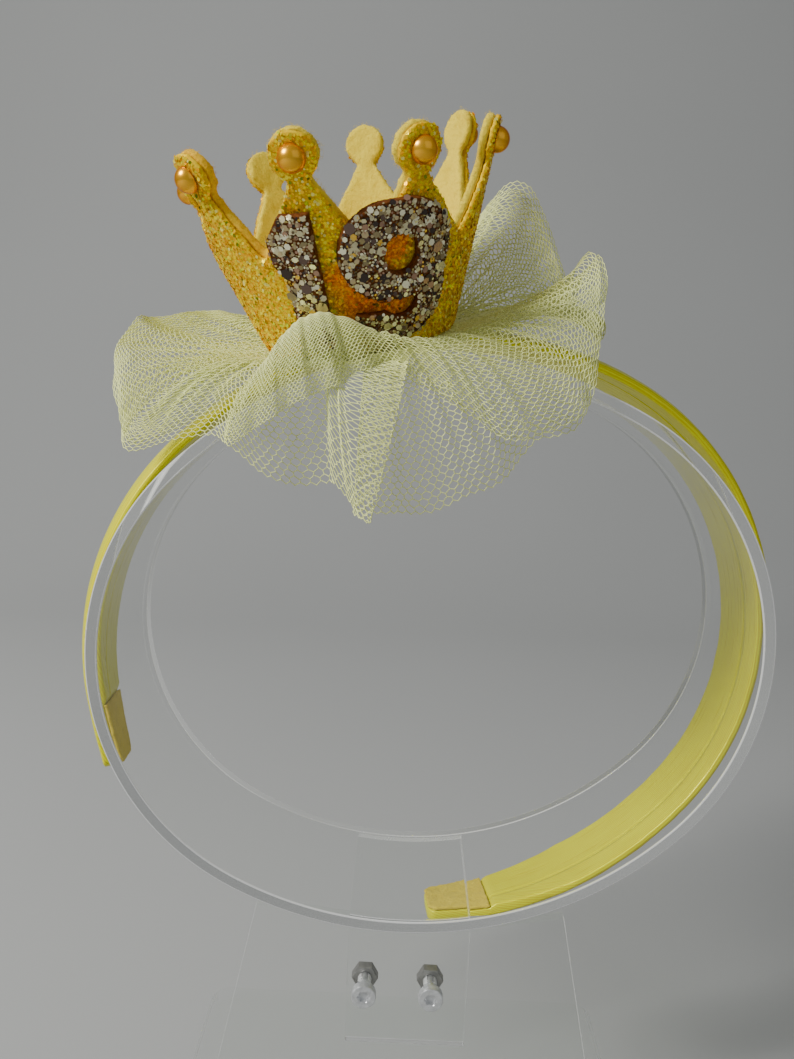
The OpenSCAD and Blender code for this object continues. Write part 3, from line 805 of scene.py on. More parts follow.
def scatter(tree, given, amount, name):
    """Random points on the mesh, as many as wanted, denser where the number says."""
    density = kept_number(tree, name)
    area = add(tree, "GeometryNodeInputMeshFaceArea")
    whole = add(tree, "GeometryNodeAttributeStatistic",
                {"Geometry": given["Geometry"]}, data_type="FLOAT", domain="FACE")
    join(tree, maths(tree, "MULTIPLY", area.outputs[0], density), whole.inputs["Attribute"])
    each = maths(tree, "DIVIDE", amount, whole.outputs["Sum"])
    return add(tree, "GeometryNodeDistributePointsOnFaces",
               {"Mesh": given["Geometry"], "Density": maths(tree, "MULTIPLY", each, density),
                "Seed": 5}, distribute_method="RANDOM").outputs


def chance(tree, low, high, seed):
    """A random number, or three, for each point."""
    if isinstance(low, tuple):
        return add(tree, "FunctionNodeRandomValue", {0: low, 1: high, "Seed": seed},
                   data_type="FLOAT_VECTOR").outputs[0]
    return add(tree, "FunctionNodeRandomValue", {2: low, 3: high, "Seed": seed},
               data_type="FLOAT").outputs[1]


def leaned(tree, dots, turn):
    """The points' rotation with a turn of their own added."""
    return add(tree, "FunctionNodeRotateEuler",
               {"Rotation": dots["Rotation"], "Rotate By": turn}, space="LOCAL").outputs[0]


def flake_tree():
    """Six-sided foil flakes scattered on a face, each tilted, sized and toned."""
    tree, given = node_tree("Glitter flakes", [
        ("Flake", "Float", 0.0005), ("Spacing", "Float", 0.0005), ("Smallest", "Float", 0.6),
        ("Tilt", "Float", 0.4), ("Lift", "Float", 0.0001), ("Seed", "Int", 5)])
    per_area = maths(tree, "POWER", given["Spacing"], -2.0)
    dots = add(tree, "GeometryNodeDistributePointsOnFaces",
               {"Mesh": given["Geometry"], "Distance Min": given["Spacing"],
                "Density Max": maths(tree, "MULTIPLY", per_area, 4.0),
                "Density Factor": kept_number(tree, "shiny"), "Seed": given["Seed"]},
               distribute_method="POISSON").outputs
    disc = add(tree, "GeometryNodeMeshCircle", {"Vertices": 6, "Radius": given["Flake"]},
               fill_type="NGON")
    tilt = add(tree, "ShaderNodeVectorMath",
               {0: chance(tree, (-1, -1, -8), (1, 1, 8), 11), "Scale": given["Tilt"]},
               operation="SCALE")
    high = maths(tree, "MULTIPLY", given["Lift"], chance(tree, 0.2, 1.0, 17))
    lift = add(tree, "ShaderNodeVectorMath", {0: dots["Normal"], "Scale": high},
               operation="SCALE")
    raised = add(tree, "GeometryNodeSetPosition",
                 {"Geometry": dots["Points"], "Offset": lift.outputs[0]})
    size = add(tree, "ShaderNodeMapRange",
               {"Value": chance(tree, 0.0, 1.0, 23), "To Min": given["Smallest"]})
    many = add(tree, "GeometryNodeInstanceOnPoints",
               {"Points": raised.outputs[0], "Instance": disc.outputs[0],
                "Rotation": leaned(tree, dots, tilt.outputs[0]), "Scale": size.outputs[0]})
    tone = add(tree, "GeometryNodeStoreNamedAttribute",
               {"Geometry": many.outputs[0], "Name": "tone",
                "Value": chance(tree, 0.0, 1.0, 29)}, data_type="FLOAT", domain="INSTANCE")
    close_tree(tree, given, tone.outputs[0])
    return tree


def fibre_tree():
    """Loose curved felt fibres standing off a face."""
    tree, given = node_tree("Felt fibres", [("Fibre", "Float", 0.001), ("Fibres", "Int", 500)])
    dots = scatter(tree, given, given["Fibres"], "shaggy")
    tip = add(tree, "ShaderNodeCombineXYZ", {"X": given["Fibre"]})
    bow = add(tree, "ShaderNodeCombineXYZ",
              {"X": maths(tree, "MULTIPLY", given["Fibre"], 0.45), "Z": given["Fibre"]})
    hair = add(tree, "GeometryNodeCurveQuadraticBezier",
               {"Resolution": 4, "Start": (0, 0, -0.00005), "Middle": bow.outputs[0],
                "End": tip.outputs[0]})
    ring = add(tree, "GeometryNodeCurvePrimitiveCircle", {"Resolution": 3, "Radius": 0.00002})
    tube = add(tree, "GeometryNodeCurveToMesh",
               {"Curve": hair.outputs[0], "Profile Curve": ring.outputs[0], "Fill Caps": True})
    lean = chance(tree, (-0.7, -0.7, -3.2), (0.7, 0.7, 3.2), 3)
    many = add(tree, "GeometryNodeInstanceOnPoints",
               {"Points": dots["Points"], "Instance": tube.outputs[0],
                "Rotation": leaned(tree, dots, lean),
                "Scale": chance(tree, (0.5, 0.5, 0.3), (1.2, 1.2, 0.9), 9)})
    close_tree(tree, given, many.outputs[0])
    return tree


class CROWN_OT_felt(bpy.types.Operator):
    """Inner felt layer of the crown, with soft edges and loose fibres"""
    bl_idname = "mini_crown.felt"
    bl_label = "Crown felt"

    def execute(self, context):
        s = settings("crown")
        # painted glow: the felt takes a warm tint where the glitter beside it throws light
        mat = felt("crown_felt", s.felt, PAINTED_GLOW_SPOTS)
        body = softened("crown_felt", "crown_felt_soft", [mat], voxel=s.voxel, passes=2,
                        wave=0.006, swell=0.00012)
        on_body(body, "felt_cream", "crown_felt")
        local, _ = in_crown(body)
        out = facing_out(body)
        # cut edges are shaggy, the inner face a little, the glued outer face and the
        # lowest 3 mm not
        rim = np.clip(1 - np.abs(out) * 1.6, 0, 1)
        shaggy = np.clip(rim + (out < -0.5) * 0.06, 0, 1) * (local[:, 2] > 3)
        named(body, "shaggy", shaggy)
        fuzz = grown(body, "crown_felt_fuzz", fibre_tree(), fibre=s.fibre, fibres=s.fibres,
                     material=mat)
        on_body(fuzz, "felt_cream")
        return {"FINISHED"}


# Tones of the gold foil and of the silver foil, each with the share of flakes below it
GOLDS = [(0.26, (1.0, 0.72, 0.0)), (0.56, (1.0, 0.82, 0.03)), (0.78, (1.0, 0.48, 0.0)),
         (0.88, (0.70, 0.78, 0.02)), (0.91, (1.0, 0.90, 0.20)), (0.98, (0.20, 0.28, 0.02))]
SILVERS = [(0.0, (0.74, 0.67, 0.40)), (0.22, (0.34, 0.27, 0.14)), (0.34, (0.98, 0.94, 0.66)),
           (0.50, (0.42, 0.25, 0.16)), (0.62, (0.06, 0.045, 0.04)), (0.76, (0.58, 0.46, 0.25)),
           (0.88, (0.15, 0.10, 0.08)), (0.955, (0.90, 0.55, 0.08))]
# Foil on the figures in three sizes: name, radius and spacing against the settings,
# tilt and lift
FOILS = (("large", 1.7, 3.1, 0.10, 0.00042), ("flakes", 0.95, 1.12, 0.22, 0.00034),
         ("fine", 0.46, 0.52, 0.45, 0.0002))


class CROWN_OT_glitter(bpy.types.Operator):
    """Glitter layer of the crown: cloth with thousands of small flakes"""
    bl_idname = "mini_crown.glitter"
    bl_label = "Crown glitter"

    def execute(self, context):
        s = settings("crown")
        # painted shade: the cloth and its flakes take an orange tint where the figures shade them
        base = glitter_base("glitter_cloth", scaled(s.gold, 0.7, 0.7, 0.7),
                            between(s.gold, (1.0, 0.76, 0.0), 0.6), 0.0005, PAINTED_SHADE_SPOTS)
        body = softened("crown_glitter", "crown_glitter_cloth", [base], voxel=s.voxel,
                        passes=1, wave=0.004, swell=0.0001)
        on_body(body, "glitter_gold", "crown_glitter")
        named(body, "shiny", (facing_out(body) > 0.35).astype(float))
        foil = flakes_finish("gold_flakes", [(0.0, s.gold)] + GOLDS, 0.24, 0.45, PAINTED_SHADE_SPOTS)
        flakes = grown(body, "crown_flakes", flake_tree(), flake=s.flake,
                       spacing=s.spacing, smallest=0.5, tilt=0.42, lift=0.00022,
                       seed=5, material=foil)
        on_body(flakes, "glitter_gold")
        return {"FINISHED"}


# Each point's lean to the side and extra height, as shares of the slant height of its disc
LEANS = (0.000, -0.052, 0.016, 0.062, 0.010, 0.000, 0.000, -0.041)
EXTRA = (-0.041, -0.034, 0.010, -0.018, -0.088, -0.062, 0.010, 0.005)


def lathed(profile, sides):
    """A closed form turned from (radius, height) points; the first and last on the axis."""
    ring = [(cos(2 * pi * i / sides), sin(2 * pi * i / sides)) for i in range(sides)]
    around = [(i, (i + 1) % sides) for i in range(sides)]
    verts = [(0, 0, profile[0][1])]
    verts += [(r * c, r * s, h) for r, h in profile[1:-1] for c, s in ring]
    verts.append((0, 0, profile[-1][1]))
    faces = [(0, 1 + i, 1 + j) for i, j in around]
    last = 1 + (len(profile) - 3) * sides
    for a in range(1, last, sides):
        faces += [(a + i, a + sides + i, a + sides + j, a + j) for i, j in around]
    faces += [(last + i, len(verts) - 1, last + j) for i, j in around]
    return verts, faces


class CROWN_OT_pearls(bpy.types.Operator):
    """Half pearls glued to the discs at the tips"""
    bl_idname = "mini_crown.pearls"
    bl_label = "Half pearls"

    def execute(self, context):
        mat = pearl_finish()
        steps = 12
        arc = [radians(90 * i / steps) for i in range(steps)]
        profile = [(PEARL_R * sin(a), PEARL_R * cos(a)) for a in arc]
        profile += [(PEARL_R, 0.12), (PEARL_R - 0.01, 0), (PEARL_R - 0.08, -0.06), (0, -0.06)]
        verts, faces = lathed(profile, 40)
        proud = 0.15
        for k, (lean, extra) in enumerate(zip(LEANS, EXTRA)):
            spot = (IN_CROWN @ turned(0, 0, FIRST_POINT - 360 / POINTS * k)
                    @ moved(CROWN_R, 0, 0) @ turned(0, degrees(FLARE), 0)
                    @ moved(proud, lean * DISC_V, (1 + extra) * DISC_V) @ turned(0, 90, 0))
            obj = piece("pearl_%d_bead" % (k + 1), placed(verts, spot), faces, [mat])
            on_body(obj, "pearl_orange", "pearl_%d" % (k + 1))
        return {"FINISHED"}


class CROWN_OT_figures(bpy.types.Operator):
    """The figures one and nine: dark board under large foil flakes"""
    bl_idname = "mini_crown.figures"
    bl_label = "Figures"

    def execute(self, context):
        s = settings("figures")
        base = glitter_base("figure_board", s.base, scaled(s.base, 2.0, 2.0, 2.0), 0.0006)
        foil = flakes_finish("silver_flakes", SILVERS, 0.14, 0.6)
        tree = flake_tree()
        for node, seed in (("numeral_one", 4), ("numeral_nine", 9)):
            body = softened(node, node + "_board", [base], voxel=0.00034, passes=1,
                            wave=0.003, swell=0.00005)
            on_body(body, "glitter_silver", node)
            named(body, "shiny", (facing_out(body) > 0.6).astype(float))
            for part, size, gap, tilt, lift in FOILS:
                foils = grown(body, node + "_" + part, tree, flake=s.flake * size,
                              spacing=s.spacing * gap, smallest=0.6, tilt=tilt, lift=lift,
                              seed=seed, material=foil)
                on_body(foils, "glitter_silver")
                seed += 30
        return {"FINISHED"}


# Net ruffle

# A row for each fold: turn at the gathered edge and turn at the rim, in degrees, then
# reach, rise and lift as shares of the ruffle's own, and how full the cloth is there
REACH, RISE, LIFT = 60.0, 30.0, 8.0
UNDER = np.array([
    [175, 166, .87, .28, .20, 1.0], [182, 177, .89, .15, .20, 1.0],
    [190, 186, .89, .00, .25, 1.0], [198, 193, .89, -.20, .30, 1.0],
    [206, 198, .89, -.46, .40, 1.0], [214, 210, .76, -.38, .55, 1.0],
    [222, 223, .68, -.34, .50, 1.0], [231, 233, .70, -.40, .65, 1.0],
    [240, 240, .67, -.58, .95, 1.0], [247, 247, .60, -.70, .95, 1.0],
    [254, 255, .58, -.70, .90, 1.0], [259, 259, .62, -.67, .80, 1.1],
    [263, 262, .66, -.74, .70, 1.2], [268, 264, .70, -.81, .70, 1.3],
    [297, 268, .72, -.88, .75, 1.5], [276, 264, .63, -.86, .60, 1.4],
    [280, 270, .62, -.90, .60, 1.2], [284, 277, .62, -.93, .60, 1.1],
    [287, 285, .61, -.97, .65, 1.0], [291, 295, .67, -.88, .65, 1.0],
    [295, 305, .68, -.86, .60, 1.0], [301, 314, .69, -.76, .55, 1.0],
    [307, 317, .73, -.64, .55, 1.0], [313, 321, .78, -.63, .50, 1.0],
    [319, 326, .83, -.59, .50, 1.0], [327, 331, .86, -.32, .50, 1.0],
    [335, 341, .86, .03, .40, 1.0], [343, 352, .87, .25, .30, 1.0],
    [351, 358, .84, .34, .25, 1.0], [359, 364, .78, -.06, .20, 1.0],
    [367, 369, .92, -.20, .15, 1.0], [375, 374, .93, -.36, .15, 1.0],
    [383, 380, .88, -.07, .30, 1.0], [392, 385, .82, .58, .70, 1.0],
    [401, 392, .80, .83, .90, 1.0], [410, 401, .78, .77, .90, 1.0],
    [420, 414, .75, .45, .60, 1.0], [430, 426, .72, .05, .40, 1.0],
    [440, 437, .76, -.30, .30, 1.0], [450, 450, .74, -.10, .30, 1.0],
    [460, 461, .72, .25, .40, 1.0], [470, 472, .76, .05, .30, 1.0],
    [480, 482, .80, -.30, .20, 1.0], [490, 491, .76, -.15, .30, 1.0],
    [500, 500, .74, .16, .40, 1.0], [509, 508, .80, .21, .30, 1.0],
    [518, 515, .84, .22, .20, 1.0], [526, 520, .88, .26, .15, 1.0]])
OVER = np.array([
    [175, 169, .85, .25, .25, 1.0], [182, 180, .87, .17, .25, 1.0],
    [190, 189, .87, .02, .30, 1.0], [198, 194, .87, -.18, .40, 1.0],
    [206, 199, .87, -.42, .50, 1.0], [214, 207, .72, -.33, .45, 1.0],
    [226, 219, .50, -.16, .30, 1.0], [238, 229, .69, -.36, .50, 1.3],
    [243, 240, .66, -.26, 1.40, 1.9], [249, 251, .60, -.14, 2.15, 2.2],
    [256, 263, .54, -.08, 2.30, 2.2], [266, 273, .50, -.03, 1.80, 2.0],
    [276, 284, .50, -.09, 1.25, 1.6], [286, 296, .55, -.25, .95, 1.3],
    [294, 303, .62, -.41, .85, 1.2], [301, 309, .69, -.58, .75, 1.1],
    [308, 317, .74, -.60, .70, 1.1], [314, 322, .79, -.57, .65, 1.0],
    [320, 327, .83, -.50, .65, 1.0], [327, 332, .85, -.27, .60, 1.0],
    [335, 341, .84, .04, .45, 1.0], [343, 351, .85, .27, .30, 1.0],
    [351, 357, .82, .36, .25, 1.0], [359, 363, .76, -.02, .20, 1.0],
    [367, 368, .90, -.17, .20, 1.0], [375, 373, .90, -.32, .20, 1.0],
    [383, 379, .85, -.03, .35, 1.0], [392, 384, .80, .54, .75, 1.0],
    [401, 391, .77, .78, .95, 1.0], [410, 400, .75, .72, .95, 1.0],
    [420, 413, .73, .42, .65, 1.0], [430, 426, .70, .09, .45, 1.0],
    [440, 438, .73, -.24, .35, 1.0], [450, 449, .71, -.06, .35, 1.0],
    [460, 461, .70, .21, .45, 1.0], [470, 471, .73, .08, .35, 1.0],
    [480, 481, .77, -.24, .25, 1.0], [490, 490, .74, -.11, .35, 1.0],
    [500, 501, .72, .16, .45, 1.0], [509, 507, .77, .20, .35, 1.0],
    [518, 516, .81, .22, .25, 1.0], [526, 522, .85, .26, .20, 1.0]])
# Where the cloth lies under the crown, in millimetres: its height, the radius of its
# gathered edge and the radius where it comes clear; t is -TUCKED at that edge
ROOT_Z, ROOT_R, CLEAR_R, TUCKED = -0.75, 15.0, 22.3, 0.3


def fold_rows(table, u):
    """Smooth fold values at positions u, counted in rows round the ruffle."""
    n = len(table)
    scale = np.array([1, 1, REACH, RISE, LIFT, 1])
    k = np.floor(u).astype(int)
    t = (u - k)[:, None]

    def row(i):
        out = table[np.mod(i, n)] * scale
        out[:, :2] += 360.0 * np.floor_divide(i, n)[:, None]
        return out

    a, b, c, d = row(k - 1), row(k), row(k + 1), row(k + 2)
    return 0.5 * (2 * b + (c - a) * t + (2 * a - 5 * b + 4 * c - d) * t * t
                  + (3 * b - a - 3 * c + d) * t * t * t)


def net_surface(table, u, t):
    """Points of a ply's middle face; t runs from -TUCKED under the crown to 1 at the rim."""
    low_turn, rim_turn, reach, rise, lift, _ = fold_rows(table, u).T
    q = np.clip(t, 0, 1)
    p = 1 - q
    span = reach - CLEAR_R
    turn = np.radians(low_turn + (rim_turn - low_turn) * q)
    # each rib is a cubic curve, with its handles at 0.45 and 0.9 of its span
    b0, b1, b2, b3 = p ** 3, 3 * p * p * q, 3 * p * q * q, q ** 3
    r = CLEAR_R * b0 + (CLEAR_R + 0.45 * span) * b1 + (CLEAR_R + 0.9 * span) * b2 + reach * b3
    z = ROOT_Z * b0 + (ROOT_Z + lift) * b1 + (0.45 * rise + 0.5 * lift) * b2 + rise * b3
    r = r + np.minimum(t, 0) / TUCKED * (CLEAR_R - ROOT_R)
    return np.stack([r * np.cos(turn), r * np.sin(turn), z], axis=1)


def lattice(around, rows, side, e, skew, rng):
    """Honeycomb laid flat: distance along, distance in from the rim, and its lines."""
    i, k = np.meshgrid(np.arange(2 * around), np.arange(-1, rows))
    odd = (i + k) % 2
    uneven = 0.04
    a = i * side / 2 + skew * k * 1.5 * e + rng.normal(0, uneven, i.shape) * side
    b = (k * 1.5 + 0.6 + 0.38 * (1 - 2 * odd)) * e + rng.normal(0, uneven, i.shape) * e
    index = np.arange(i.size).reshape(i.shape)
    zigzag = np.stack([index.ravel(), np.roll(index, -1, axis=1).ravel()], axis=1)
    up = index[:-1][odd[:-1] == 0]
    posts = np.stack([up, up + 2 * around], axis=1)
    return a.ravel(), b.ravel(), np.concatenate([zigzag, posts])


def ply_lengths(table):
    """At places round a ply: the cloth's length so far, its ribs' lengths, its fullness."""
    grid = np.linspace(0, len(table), 1601)
    full = fold_rows(table, grid)[:, 5]
    ribs = [net_surface(table, grid, np.full_like(grid, q)) for q in np.linspace(0, 1, 15)]
    gaps = np.linalg.norm(np.diff(ribs[-1], axis=0), axis=1)
    run = np.concatenate([[0], np.cumsum(gaps * (full[1:] + full[:-1]) / 2)])
    deep = sum(np.linalg.norm(b - a, axis=1) for a, b in zip(ribs, ribs[1:]))
    # a full fold is slack along its ribs as well
    return grid, run, deep * (0.4 + 0.6 * full), full


def pleats(lap, waves, seed, squeeze, full, limit):
    """Heights of the small uneven pleats in slack cloth, in millimetres."""
    phase = lap * waves + 2.2 * np.sin(lap * 7 + seed) + 1.1 * np.sin(lap * 17)
    uneven = 0.72 + 0.28 * np.sin(lap * 23 + 1.7 * seed)
    calm = np.clip(1.9 - full, 0.12, 1)
    high = 1.5 * np.sqrt(np.clip(1 - squeeze ** 2, 0, 1)) * uneven * calm
    return np.minimum(high, limit) * np.sin(phase)


def cut_rim(points, lines, keep, past, rng):
    """Past the rim the cells are cut through, leaving short ragged ends."""
    whole = (keep & ~past)[lines].all(axis=1)
    cut = keep[lines].all(axis=1) & (past[lines[:, 0]] ^ past[lines[:, 1]])
    stubs = lines[cut]
    swap = past[stubs[:, 0]]
    stubs[swap] = stubs[swap][:, ::-1]
    share = rng.uniform(0.15, 0.7, len(stubs))[:, None]
    ends = points[stubs[:, 0]] + (points[stubs[:, 1]] - points[stubs[:, 0]]) * share
    tips = np.arange(len(points), len(points) + len(ends))
    lines = np.concatenate([lines[whole], np.stack([stubs[:, 0], tips], axis=1)])
    used, lines = np.unique(lines, return_inverse=True)
    return np.concatenate([points, ends])[used], lines.reshape(-1, 2)


def net_ply(name, table, seed, offset, skew, mat):
    """One ply: a honeycomb of strands laid over the folds, with small pleats.

    Returns the piece and the length and depth of the flat strip, in metres."""
    s = settings("net")
    rng = np.random.default_rng(seed)
    grid, run, ribs, full = ply_lengths(table)
    total, flat = run[-1], CLEAR_R - ROOT_R
    around = int(round(total / (s.cell / MM)))
    side = total / around
    e = side * s.squash / sqrt(3)
    rows = int((ribs.max() + flat) / (1.5 * e)) + 1
    a, b, lines = lattice(around, rows, side, e, skew, rng)
    u = np.interp(a % total, run, grid)
    rib = np.interp(u, grid, ribs)
    t = np.where(b < rib, 1 - b / rib, -TUCKED * (b - rib) / flat)
    keep = t > -TUCKED
    t = np.clip(t, -TUCKED, 1)
    mid = net_surface(table, u, t)
    step = 0.02
    along = net_surface(table, u + step, t) - net_surface(table, u - step, t)
    out = (net_surface(table, u, np.clip(t + step, -TUCKED, 1))
           - net_surface(table, u, np.clip(t - step, -TUCKED, 1)))
    normal = np.cross(out, along)
    normal /= np.linalg.norm(normal, axis=1)[:, None] + 1e-12
    cloth = np.interp(u, grid, np.gradient(run, grid))
    squeeze = np.clip(np.linalg.norm(along, axis=1) / (2 * step) / cloth, 0.2, 1.0)
    # pleats are held flat at the crown and calm towards the rim
    high = s.pleat / MM
    limit = np.interp(np.hypot(mid[:, 0], mid[:, 1]), [ROOT_R, CLEAR_R, CLEAR_R + 6, 36, REACH],
                      [0.25, 0.3, high, high, high * 0.5])
    lap = 2 * pi * a / total
    pleat_gap, rim_calm, curl = 6.2, 10.0, 0.45
    lift = pleats(lap, round(total / pleat_gap), seed, squeeze, np.interp(u, grid, full), limit)
    lift = lift * np.clip(b / rim_calm, 0.1, 1) + offset
    lift += curl * np.sin(lap * 31 + seed) * np.clip(t, 0, 1) ** 2
    points, lines = cut_rim(mid + normal * lift[:, None], lines, keep, b < 0, rng)
    work = piece(name + "_lines", placed(points, IN_CROWN), [], edges=lines.tolist())
    ply = grown(work, name, strand_tree(), strand=s.strand, material=mat)
    dismiss(work)
    smoothed(ply.data)
    return ply, total * MM, float(ribs.mean() + flat) * MM


def strand_tree():
    """Every line of the honeycomb becomes a fine three-sided strand."""
    tree, given = node_tree("Net strands", [("Strand", "Float", 0.00015)])
    lines = add(tree, "GeometryNodeMeshToCurve", {"Mesh": given["Geometry"]})
    ring = add(tree, "GeometryNodeCurvePrimitiveCircle",
               {"Resolution": 3, "Radius": given["Strand"]})
    tube = add(tree, "GeometryNodeCurveToMesh",
               {"Curve": lines.outputs[0], "Profile Curve": ring.outputs[0]})
    close_tree(tree, given, tube.outputs[0])
    return tree


# The two plies: name, folds, seed, height over the middle face in millimetres, slant of
# the weave and the CAD nodes that it stands for
PLIES = (("net_ruffle_under", UNDER, 3, -0.3, -0.12, ("net_ruffle",)),
         ("net_ruffle_over", OVER, 8, 0.4, 0.16, ()))


class CROWN_OT_net(bpy.types.Operator):
    """Two plies of gathered net round the crown's base"""
    bl_idname = "mini_crown.net"
    bl_label = "Net ruffle"

    def execute(self, context):
        colour = settings("net").colour
        mat = net_finish("net_strands", colour, scaled(colour, 0.95, 0.93, 0.80))
        for name, table, seed, offset, skew, nodes in PLIES:
            ply, around, deep = net_ply(name, table, seed, offset, skew, mat)
            on_body(ply, "net_cream", *nodes)
        return {"FINISHED"}


# Stand


class CROWN_OT_hoop(bpy.types.Operator):
    """Clear oval hoop with polished faces and slightly rounded sawn rims"""
    bl_idname = "mini_crown.hoop"
    bl_label = "Hoop"

    def execute(self, context):
        s = settings("stand")
        wall = clear_sheet("clear_wall", s.clear, 0.0, 0.06)
        sawn = clear_sheet("clear_rim", s.clear, 0.02, 0.2, 0.97)
        edge = clear_sheet("clear_edge", (1, 1, 1), 0.2, 0.4, 0.5)
        c = s.edge / MM
        half, wall_in = HOOP_D / 2 - c, c - HOOP_T
        corners = ((-c, half), (wall_in, half), (wall_in, -half), (-c, -half))
        loop = []
        for n, (h, z) in enumerate(corners):
            turns = (radians(90 * n + 30 * m) for m in range(4))
            loop += [(h + c * cos(a), z + c * sin(a)) for a in turns]
        rows = along_bends(HOOP_BENDS, 0.6)[:-1]
        verts = [(x + nx * h, y + ny * h, z) for x, y, nx, ny, _ in rows for h, z in loop]
        faces = tube_faces(len(rows), len(loop), closed=True)
        obj = piece("stand_hoop_clear", placed(verts, IN_HOOP), faces, [wall, sawn, edge])
        crisp(obj.data, 10)
        axis = IN_HOOP.to_3x3() @ Vector((0, 0, 1))
        for face in obj.data.polygons:
            flat = abs(face.normal.dot(axis))
            face.material_index = 1 if flat > 0.99 else 2 if flat > 0.05 else 0
        on_body(obj, "acrylic_clear", "stand_hoop")
        return {"FINISHED"}


def edged(node, name, edge, mats):
    """A rigid node's form with its sharp edges rounded by two small steps."""
    bm = merged(node)
    bmesh.ops.dissolve_limit(bm, angle_limit=radians(0.5), verts=bm.verts, edges=bm.edges)
    sharp = [e for e in bm.edges if len(e.link_faces) == 2 and e.calc_face_angle(0) > radians(40)]
    bmesh.ops.bevel(bm, geom=sharp, offset=edge, offset_type="OFFSET", segments=2, profile=0.5,
                    affect="EDGES", clamp_overlap=True)
    mesh = kept(bm, name)
    crisp(mesh, 18)
    return linked(name, mesh, mats)


# Heights that tell the bracket's and base's cut faces apart, in metres
FOOT_TOP, LEG_END, SADDLE_LOW = 0.0041, 0.05, 0.064


def cut_of(node, face):
    """Material of a face of the bracket or the base: 0 polished, 1 sawn, 2 frosted."""
    # whether the face looks along X, Y or Z
    x, y, z = (abs(c) > 0.5 for c in face.normal)
    height = face.center.z
    if node == "stand_base":
        return 2 if x and height > FOOT_TOP else 0
    if y and height > SADDLE_LOW:
        return 2
    return int(x or (z and height < LEG_END))


class CROWN_OT_support(bpy.types.Operator):
    """Clear bracket, panel and foot"""
    bl_idname = "mini_crown.support"
    bl_label = "Bracket and base"

    def execute(self, context):
        s = settings("stand")
        sheet = clear_sheet("clear_plate", s.clear, 0.0, 0.08, 1.0, 1.14)
        sawn = clear_sheet("clear_cut", s.clear, 0.02, 0.2, 0.86)
        frosted = clear_sheet("clear_frosted", (1, 1, 1), 0.25, 0.45, 0.55)
        for node in ("stand_bracket", "stand_base"):
            obj = edged(node, node + "_clear", s.edge, [sheet, sawn, frosted])
            for face in obj.data.polygons:
                face.material_index = cut_of(node, face)
            on_body(obj, "acrylic_clear", node)
        return {"FINISHED"}


class CROWN_OT_fasteners(bpy.types.Operator):
    """Socket-head bolts and nuts of the bracket"""
    bl_idname = "mini_crown.fasteners"
    bl_label = "Bolts and nuts"

    def execute(self, context):
        s = settings("stand")
        bright, dark = steel("bright_steel", s.metal), steel("dark_steel", s.nut)
        rounding = 0.00022
        for node in ("bolt_left", "bolt_right", "nut_left", "nut_right"):
            mat = dark if "nut" in node else bright
            obj = edged(node, node + "_steel", rounding, [mat])
            on_body(obj, "steel", node)
        return {"FINISHED"}


# Stage

# The paper in metres: its front edge, where it starts to curve up, the curve's radius,
# its top, its half width and its level
PAPER_FRONT, PAPER_BEND, PAPER_R, PAPER_TOP, PAPER_HALF_W = -1.6, 0.45, 0.5, 2.2, 2.5
PAPER_Z = -0.0005
# Lights: name, setting of the power, width, place and colour; both aim at LIT
LIGHTS = (("window_light", "key", 0.32, (-0.78, -0.42, 0.80), (1, 0.99, 0.96)),
          ("fill_light", "fill", 1.2, (0.75, -0.9, 0.7), (0.95, 0.97, 1)))
LIT = (0, 0, 0.15)
SKY_COLOUR, SKY_STRENGTH = (0.86, 0.90, 0.93, 1), 0.28
# The camera's place in metres, and its directions to the right, down and ahead
CAMERA_AT = (-0.0056, -0.1997, 0.1894)
CAMERA_RIGHT = Vector((0.99904, 0.01308, 0.04183))
CAMERA_DOWN = Vector((0.04346, -0.17282, -0.98399))
CAMERA_AHEAD = Vector((-0.0056, 0.98487, -0.17322))


def paper(mat):
    """The floor and its curved backdrop."""
    side = [(PAPER_FRONT, PAPER_Z), (PAPER_BEND, PAPER_Z)]
    side += [(PAPER_BEND + PAPER_R * sin(a), PAPER_Z + PAPER_R - PAPER_R * cos(a))
             for a in (radians(step) for step in range(5, 90, 5))]
    side += [(PAPER_BEND + PAPER_R, PAPER_R), (PAPER_BEND + PAPER_R, PAPER_TOP)]
    verts = [(x, y, z) for y, z in side for x in (-PAPER_HALF_W, PAPER_HALF_W)]
    faces = [(2 * i, 2 * i + 1, 2 * i + 3, 2 * i + 2) for i in range(len(side) - 1)]
    return piece("stage_floor", verts, faces, [mat])


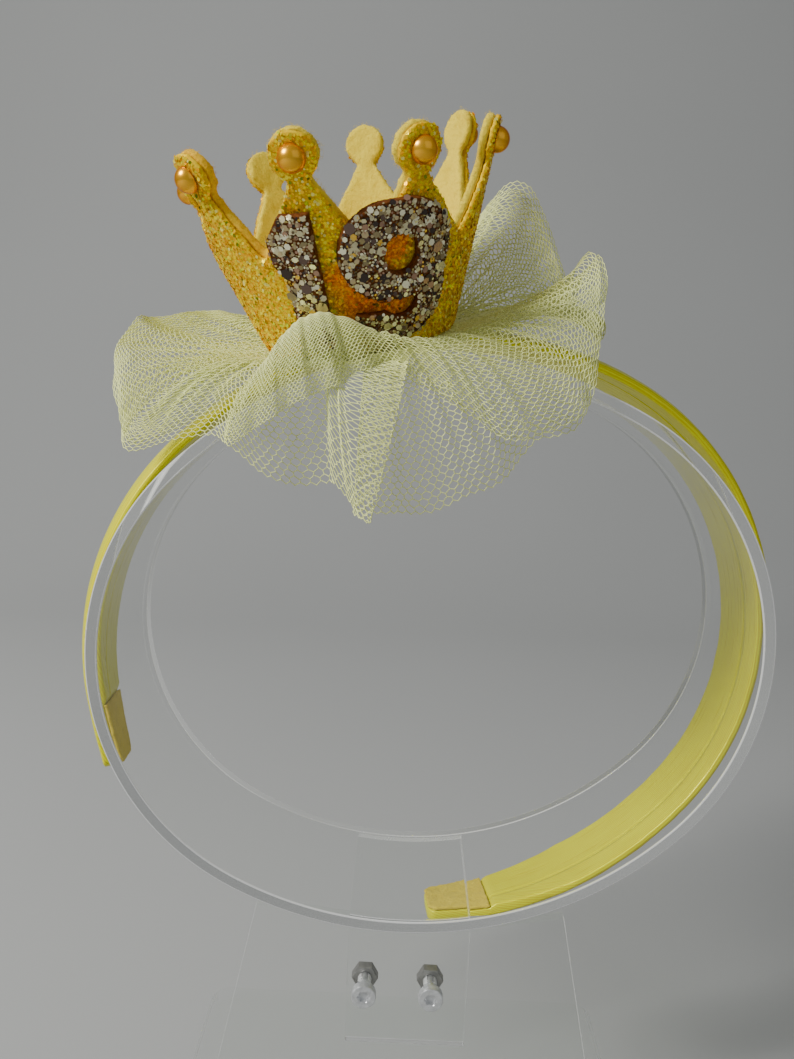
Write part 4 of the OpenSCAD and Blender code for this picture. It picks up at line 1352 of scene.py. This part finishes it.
class CROWN_OT_stage(bpy.types.Operator):
    """Pale floor with a curved backdrop, window light, fill light and camera"""
    bl_idname = "mini_crown.stage"
    bl_label = "Stage"

    def execute(self, context):
        s = settings("stage")
        mat, tree, shader = finish("stage_paper", s.floor, 0.9, specular_ior_level=0.2)
        wash = mottled(tree, mapped(tree), 2.0, 2.0)
        join(tree, ramp(tree, wash, [(0.3, scaled(s.floor, 0.96, 0.96, 0.96)), (0.7, s.floor)]),
             shader.inputs["Base Color"])
        floor = paper(mat)

        for name, power, size, where, colour in LIGHTS:
            light = bpy.data.lights.new(name, "AREA")
            light.energy, light.size, light.color = getattr(s, power), size, colour
            lamp = linked(name, light)
            lamp.location = where
            lamp.rotation_euler = (Vector(where) - Vector(LIT)).to_track_quat("Z", "Y").to_euler()

        world = bpy.data.worlds.new("soft_room")
        world.use_nodes = True
        sky = next(n for n in world.node_tree.nodes if n.type == "BACKGROUND")
        sky.inputs["Color"].default_value = SKY_COLOUR
        sky.inputs["Strength"].default_value = SKY_STRENGTH
        context.scene.world = world

        data = bpy.data.cameras.new("front_camera")
        data.lens, data.sensor_width, data.sensor_fit = s.focal, 36, "AUTO"
        data.clip_start, data.clip_end = 0.005, 20
        camera = linked("front_camera", data)
        turn = Matrix((CAMERA_RIGHT, -CAMERA_DOWN, -CAMERA_AHEAD)).transposed().to_4x4()
        camera.matrix_world = Matrix.Translation(CAMERA_AT) @ turn
        context.scene.camera = camera
        return {"FINISHED"}


class CROWN_PT_panel(bpy.types.Panel):
    """Sidebar panel that lists the pieces and their settings"""
    bl_idname = "CROWN_PT_panel"
    bl_label = "Mini Crown Headband"
    bl_space_type = "VIEW_3D"
    bl_region_type = "UI"
    bl_category = "Crown"

    def draw(self, context):
        for key, group in GROUPS.items():
            box = self.layout.box()
            box.label(text=group.__doc__)
            values = getattr(context.scene, key)
            for prop in group.__annotations__:
                box.prop(values, prop)
        for kind in OPERATORS:
            self.layout.operator(kind.bl_idname)


OPERATORS = (CROWN_OT_stage, CROWN_OT_headband, CROWN_OT_pads, CROWN_OT_felt,
             CROWN_OT_glitter, CROWN_OT_pearls, CROWN_OT_figures, CROWN_OT_net,
             CROWN_OT_hoop, CROWN_OT_support, CROWN_OT_fasteners)
CLASSES = tuple(GROUPS.values()) + OPERATORS + (CROWN_PT_panel,)


def register():
    """Add the settings, the operators and the panel."""
    for kind in CLASSES:
        bpy.utils.register_class(kind)
    for key, group in GROUPS.items():
        setattr(bpy.types.Scene, key, PointerProperty(type=group))


def unregister():
    """Take them away again."""
    for key in GROUPS:
        delattr(bpy.types.Scene, key)
    for kind in reversed(CLASSES):
        bpy.utils.unregister_class(kind)


def main():
    """Register the settings and build every piece in order."""
    register()
    for kind in OPERATORS:
        group, name = kind.bl_idname.split(".")
        getattr(getattr(bpy.ops, group), name)()


if __name__ == "__main__":
    main()
